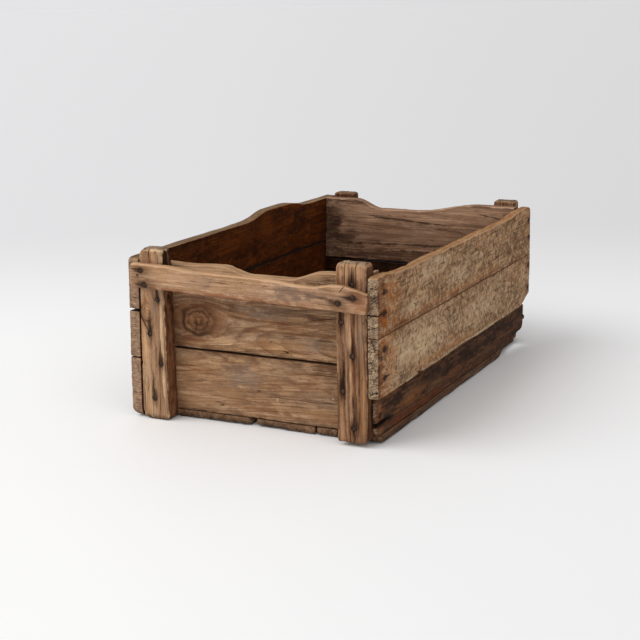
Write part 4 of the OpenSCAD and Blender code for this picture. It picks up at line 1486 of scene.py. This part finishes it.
@dataclass
class CrateFloor(Assembly):
    """The four boards of the floor."""

    split: Tuple[Wear, ...] = ((165, 341, 70, 50, 11.0),)
    undercut: Tuple[Dent, ...] = (
        Dent(-290, 0, 24, 400, 2.6), Dent(-290, -118, 10, 9, 2.2), Dent(-290, -84, 10, 14, 1.8),
        Dent(-290, -30, 10, 8, 2.4), Dent(-290, 14, 10, 12, 2.0), Dent(-290, 58, 10, 8, 2.4),
        Dent(-290, 112, 10, 12, 2.0))

    def __post_init__(self) -> None:
        """Lays the boards out from left to right."""
        look = WoodLook(FLOOR_TONE, pith=(40, -90), gap=2.6, late=0.4, weather=0.5, inner=0.8,
                        pitted=0.25)
        rows = (
            ("floor_board_1", (4, 10, 4, 3), (),
             (Crack(-290, -255, -104, 1.6, 10), Crack(-290, -268, -62, 1.0, 9),
              Crack(-290, -274, -138, 0.9, 8))),
            ("floor_board_2", (9, 3, 3, 4), (),
             (Crack(-290, -262, 22, 1.6, 10), Crack(-290, -250, 50, 1.2, 10),
              Crack(-290, -272, -6, 1.0, 7))),
            ("floor_board_3", (3, 3, 2, 2), (),
             (Crack(-290, -266, 101, 1.4, 9), Crack(-290, -272, 84, 0.9, 8))),
            ("floor_board_4", (3, 6, 0, 3), self.split, (Crack(30, 180, 174, 1.2, 6),)),
        )
        for number, (node, corners, wear, cracks) in enumerate(rows):
            self.boards.append(Board(node, "floor_wood", look, Run.FLOOR.place(), 20 + number,
                                     corners=corners, high_wear=wear, cracks=cracks, ragged=1.3,
                                     round_edge=2.4, round_end=3.0, dents=self.undercut))


@dataclass
class EndWall(Assembly):
    """The two boards across one end."""

    front: bool = True

    def __post_init__(self) -> None:
        """Sets the lower and the upper board."""
        if self.front:
            self.add("front_end_board_lower", FRONT_LOWER, 31, tight=(0, 0.5), cracks=(
                Crack(-176, -95, 66, 0.8, 5), Crack(60, 180, 88, 0.8, 5)))
            self.add("front_end_board_upper", FRONT_UPPER, 32,
                     wear=((-52, 90, 42, 42, 10), (70, 400, 40, 50, -2.5)),
                     extra=((148, 400, 20, 50, -6.5), (-140, -60, 30, 40, 1.5)), tight=(0.5, 0),
                     cracks=(Crack(-80, 10, 176, 0.8, 5), Crack(60, 180, 108, 0.7, 5)))
        else:
            self.add("rear_end_board_lower", REAR_LOWER, 33, tight=(0, 0.3))
            self.add("rear_end_board_upper", REAR_UPPER, 34, tight=(0.3, 0),
                     wear=((-110, 108, 44, 105, 14.5),),
                     cracks=(Crack(-85, 76, 197.5, 1.6, 5, -10, outside=False),
                             Crack(28, 66, 181.5, 1.4, 5, -2, outside=False),
                             Crack(112, 148, 209.5, 1.5, 5, -5, outside=False)))

    def add(self, node: str, look: WoodLook, seed: int, tight: Tuple[float, float],
            wear: Tuple[Wear, ...] = (), extra: Tuple[Wear, ...] = (),
            cracks: Tuple[Crack, ...] = ()) -> None:
        """Adds one board of the end wall."""
        self.boards.append(Board(node, "end_wood", look, Run.ACROSS.place(), seed,
                                 corners=(0, 0, 0, 0), high_wear=wear, extra_wear=extra,
                                 lean=LEFT_LEAN, cracks=cracks, tight=tight))


@dataclass
class LeftSide(Assembly):
    """The three boards of the left side, which lean in together."""

    def __post_init__(self) -> None:
        """Stacks the boards from the floor up."""
        rows = (
            ("left_side_board_lower", (15, 1, 3, 6), (), (0.0, 0.3),
             (Crack(-310, -278, 62, 2.4, 9), Crack(-310, -250, 34, 0.9, 17),
              Crack(-60, 90, 40, 0.8, 5))),
            ("left_side_board_middle", (1, 3, 3, 3), (), (0.3, 0.3),
             (Crack(-310, -262, 107, 0.9, 17), Crack(-310, -270, 128, 0.8, 17))),
            ("left_side_board_upper", (4, 9, 5, 3), ((-5, 210, 70, 90, -10),), (0.3, 0.0),
             (Crack(100, 310, 196, 0.9, 6), Crack(-310, -272, 168, 0.8, 17))),
        )
        place = Run.SIDE.place((LEFT_FOOT_X, 0, 0), LEFT_LEAN)
        for number, (node, corners, wear, tight, cracks) in enumerate(rows):
            self.boards.append(Board(node, "side_wood", LEFT_LOOK, place, 40 + number,
                                     corners=corners, high_wear=wear, cracks=cracks, tight=tight,
                                     low_wear=((-400, -240, 9, 40, -1.5),) if number == 1 else (),
                                     keel=0.0 if number else 13.0))


@dataclass
class RightSide(Assembly):
    """The two pale boards and the thin dark board of the right side."""

    def __post_init__(self) -> None:
        """Stacks the boards from the floor up."""
        place = Run.SIDE.place()
        self.boards = [
            Board("right_side_board_lower", "dark_wood", RIGHT_DARK, place, 50,
                  corners=(15, 9, 4, 20), low_wear=((225, 365, 40, 50, 9),), round_edge=3.2,
                  round_end=5.0, ragged=1.3, dents=(Dent(-250, 34, 26, 9, 3.0),),
                  cracks=(Crack(-312, -248, 28, 12.0, 7.6), Crack(-250, -120, 26, 1.8, 5),
                          Crack(-60, 170, 38, 1.0, 4))),
            Board("right_side_board_middle", "bleached_wood", RIGHT_MIDDLE, place, 51,
                  corners=(5, 1, 2, 6), round_edge=2.2, tight=(0, 1),
                  low_wear=((255, 365, 55, 50, 14), (-174, -156, 7, 8, 3.0),
                            (-70, 60, 60, 60, 1.5)),
                  cracks=(Crack(-310, -287, 86, 1.4, 16), Crack(-310, -292, 127, 1.2, 16),
                          Crack(-90, 120, 92, 0.6, 3), Crack(-50, 250, 70, 0.8, 3))),
            Board("right_side_board_upper", "bleached_wood", RIGHT_UPPER, place, 52,
                  corners=(1, 9, 15, 2), round_edge=3.4, high_wear=(
                      (-285, 255, 60, 60, 5.5), (-252, -236, 8, 12, 1.2), (-204, -176, 14, 10, 1.0),
                      (-96, -70, 10, 16, 1.1), (14, 34, 9, 12, 0.9), (96, 128, 16, 10, 1.2),
                      (196, 214, 8, 10, 1.0)),
                  tight=(1, 0), low_wear=((-400, 400, 9, 9, -1.4),),
                  cracks=(Crack(-310, -277, 174, 3.8, 16), Crack(-20, 130, 168, 0.6, 3),
                          Crack(180, 310, 196, 1.4, 6))),
        ]


@dataclass
class Posts(Assembly):
    """The four corner posts."""

    def __post_init__(self) -> None:
        """Stands the posts at the corners."""
        rows = (
            ("front_left_post", LEFT_POST, (12, 6, 4, 9), 5.6, ((141, 206, 18, 26, 0.7),),
             (Crack(-3, 46, -139, 1.2, 8), Crack(-3, 24, -150, 1.0, 7),
              Crack(205, 240, -146, 1.4, 8), Crack(124, 147, -154, 2.0, 5, -9))),
            ("front_right_post", RIGHT_POST, (5, 10, 5, 3), 0.0, (),
             (Crack(196, 240, 141, 1.4, 8), Crack(180, 240, 156, 1.2, 7),
              Crack(-3, 34, 150, 0.9, 6), Crack(60, 130, 138.5, 0.8, 4))),
            ("rear_left_post", REAR_POST, (4, 4, 4, 4), 0.0, (),
             (Crack(120, 235, -140, 1.0, 8),)),
            ("rear_right_post", PLAIN_POST, (4, 4, 4, 4), 0.0, (),
             (Crack(-3, 90, 148, 1.0, 8),)),
        )
        for number, (node, look, corners, wedge, wear, cracks) in enumerate(rows):
            self.boards.append(Board(node, "post_wood", look, Run.POST.place(), 60 + number,
                                     corners=corners, round_edge=1.6,
                                     round_top=8.0 if number < 2 else 4.0,
                                     wedge=wedge, low_wear=wear, cracks=cracks,
                                     flutes=24.0 if number else 12.0))


@dataclass
class HandleRails(Assembly):
    """The rails nailed across the posts at both ends."""

    front_middle: Place = (2.58, 0, 197)
    rear_middle: Place = (2.44, 0, 186)

    def __post_init__(self) -> None:
        """Sets the sloping front rail and the level rear one."""
        self.boards = [
            Board("front_handle_rail", "rail_wood", FRONT_RAIL,
                  Run.ACROSS.place(self.front_middle, RAIL_SLOPE), 70, corners=(6, 8, 9, 7),
                  round_edge=4.4, round_end=4.6,
                  low_wear=((24, 33, 4, 5, 1.6), (-150, -60, 40, 40, 1.0)),
                  high_wear=((-120, 125, 40, 25, 3), (40, 130, 40, 35, 3), (136, 300, 40, 10, 7)),
                  cracks=(Crack(134.5, 143, 6.5, 3.4, 4.5, 11), Crack(84, 136, 14, 0.6, 1.6, -7),
                          Crack(-180, -120, 3, 0.7, 3))),
            Board("rear_handle_rail", "rail_wood", REAR_RAIL, Run.ACROSS.place(self.rear_middle),
                  71, corners=(4, 6, 6, 4), round_edge=4.4, round_end=4.0,
                  high_wear=((-130, 120, 60, 70, 6),)),
        ]


# Studio


@dataclass
class Studio:
    """The pale floor, the soft light and the camera."""

    floor_near: Tuple[str, str] = ("#ffffff", "#f3f3f4")
    floor_far: Tuple[str, str] = ("#e5e5e7", "#d9d9da")
    daylight: float = 0.47
    shade: Tuple[float, float] = (-0.3, 0.35)
    camera_place: Place = (0.84463, -1.78334, 0.56044)
    focal_pixels: float = 1354.13
    picture_width: float = 640.0

    def floor(self) -> None:
        """Lays the floor under the crate. Its colour paints shade: darker far off, and a little to the
        right, where the crate's shadow falls.
        """
        bpy.ops.object.select_all(action="DESELECT")
        bpy.ops.mesh.primitive_plane_add(size=120.0, location=(0, 0, -0.0002))
        ground = bpy.context.object
        ground.name = "studio_floor"
        material, c = new_material("studio_floor")
        place = c.node("ShaderNodeTexCoord").outputs["Object"]
        behind = c.step(c.vector("DOT_PRODUCT", place, (-0.447, 0.894, 0.0)), 0.0, 1.4)
        left, right = (c.mix(behind, tone(near), tone(far))
                       for near, far in zip(self.floor_near, self.floor_far))
        place = c.vector("SUBTRACT", place, self.camera_place)
        colour = c.mix(self.aside(c, place, 0.5), left, right)
        shader = c.node("ShaderNodeBsdfPrincipled", {"Base Color": colour, "Roughness": 0.6})
        c.node("ShaderNodeOutputMaterial", {"Surface": shader.outputs[0]})
        ground.data.materials.append(material)

    def aside(self, c: Canvas, sight: Plug, nearest: float) -> Plug:
        """How far to the right of the camera's view a line of sight points.

        Args:
            c: Canvas of the material.
            sight: The line of sight, from the camera.
            nearest: Least distance ahead of the camera.

        Returns:
            A value from 0 at the left to 1 at the right.
        """
        across = c.vector("DOT_PRODUCT", sight, (0.894, 0.447, 0.0))
        ahead = c.vector("DOT_PRODUCT", sight, (-0.447, 0.894, 0.0))
        ahead = c.math("MAXIMUM", ahead, nearest)
        return c.step(c.math("DIVIDE", across, ahead), *self.shade)

    def world(self) -> None:
        """Lights the room softly from all around, and shows a pale wall that is darker towards the right,
        as painted shade.
        """
        world = bpy.data.worlds.new("studio")
        bpy.context.scene.world = world
        world.use_nodes = True
        c = Canvas(world.node_tree)
        path = c.node("ShaderNodeLightPath").outputs
        seen = c.math("MAXIMUM", path["Is Camera Ray"], path["Is Glossy Ray"])
        seen = c.math("MAXIMUM", seen, path["Is Transmission Ray"])
        light = c.node("ShaderNodeBackground", {"Color": (1.0, 0.99, 0.98, 1),
                                                "Strength": self.daylight})
        aside = self.aside(c, c.node("ShaderNodeTexCoord").outputs["Generated"], 0.05)
        far = c.mix(aside, *(tone(colour) for colour in self.floor_far))
        wall = c.node("ShaderNodeBackground", {"Color": far, "Strength": 1.0})
        both = c.node("ShaderNodeMixShader", {0: seen, 1: light.outputs[0], 2: wall.outputs[0]})
        c.node("ShaderNodeOutputWorld", {"Surface": both.outputs[0]})

    def lamp(self, name: str, towards: Sequence[float], strength: float, spread: float) -> None:
        """Adds one soft, distant lamp.

        Args:
            name: Its name.
            towards: Direction from the crate to the lamp.
            strength: Its strength.
            spread: How wide it looks from the crate, in degrees.
        """
        data = bpy.data.lights.new(name, "SUN")
        data.energy = strength
        data.angle = math.radians(spread)
        lamp = bpy.data.objects.new(name, data)
        bpy.context.scene.collection.objects.link(lamp)
        lamp.rotation_euler = Vector(towards).to_track_quat("Z", "Y").to_euler()

    def camera(self) -> None:
        """Stands the camera where the picture was taken."""
        yaw, pitch, roll = (math.radians(a) for a in (26.54, 13.55, -1.06))
        ahead = Vector((-math.sin(yaw) * math.cos(pitch), math.cos(yaw) * math.cos(pitch),
                        -math.sin(pitch)))
        right = Vector((math.cos(yaw), math.sin(yaw), 0))
        up = right.cross(ahead)
        level = right * math.cos(roll) + up * math.sin(roll)
        rise = up * math.cos(roll) - right * math.sin(roll)
        data = bpy.data.cameras.new("camera")
        data.sensor_width = 36.0
        data.lens = data.sensor_width * self.focal_pixels / self.picture_width
        camera = bpy.data.objects.new("camera", data)
        bpy.context.scene.collection.objects.link(camera)
        turn = Matrix((level, rise, -ahead)).transposed().to_4x4()
        camera.matrix_world = Matrix.Translation(Vector(self.camera_place)) @ turn
        bpy.context.scene.camera = camera

    def build(self) -> None:
        """Sets up the whole studio."""
        self.floor()
        self.world()
        self.lamp("window", (-0.8, -0.62, 1.0), 1.6, 50)
        self.lamp("fill", (0.5, -0.9, 0.7), 0.85, 90)
        self.camera()
        bpy.context.scene.view_settings.view_transform = "Standard"


def main() -> None:
    """Builds the crate and its studio."""
    logging.basicConfig(level=logging.INFO, format="%(name)s: %(message)s")
    Studio().build()
    left = (-math.cos(LEFT_LEAN), 0, math.sin(LEFT_LEAN))
    nails = [
        NailSet("front_rail_nails", (0, -1, 0), 26, 1), NailSet("rear_rail_nails", (0, 1, 0), 26, 2),
        NailSet("front_post_nails", (0, -1, 0), 38, 3), NailSet("rear_post_nails", (0, 1, 0), 38, 4),
        NailSet("left_side_nails", left, 38, 5), NailSet("right_side_nails", (1, 0, 0), 26, 6),
        NailSet("floor_nails", (0, 0, -1), 26, 7),
    ]
    for nail_set in nails:
        nail_set.find()
    effects = Effects()
    for part in (CrateFloor(), EndWall(front=True), EndWall(front=False), LeftSide(), RightSide(),
                 Posts(), HandleRails()):
        part.finish(effects, nails)
    iron = IronFinish().build()
    rusty = IronFinish("nail_iron_rusty", "#3a2012", "#1a0d07", 0.0).build()
    for nail_set in nails:
        nail_set.build(rusty if nail_set.node == "right_side_nails" else iron)


if __name__ == "__main__":
    main()
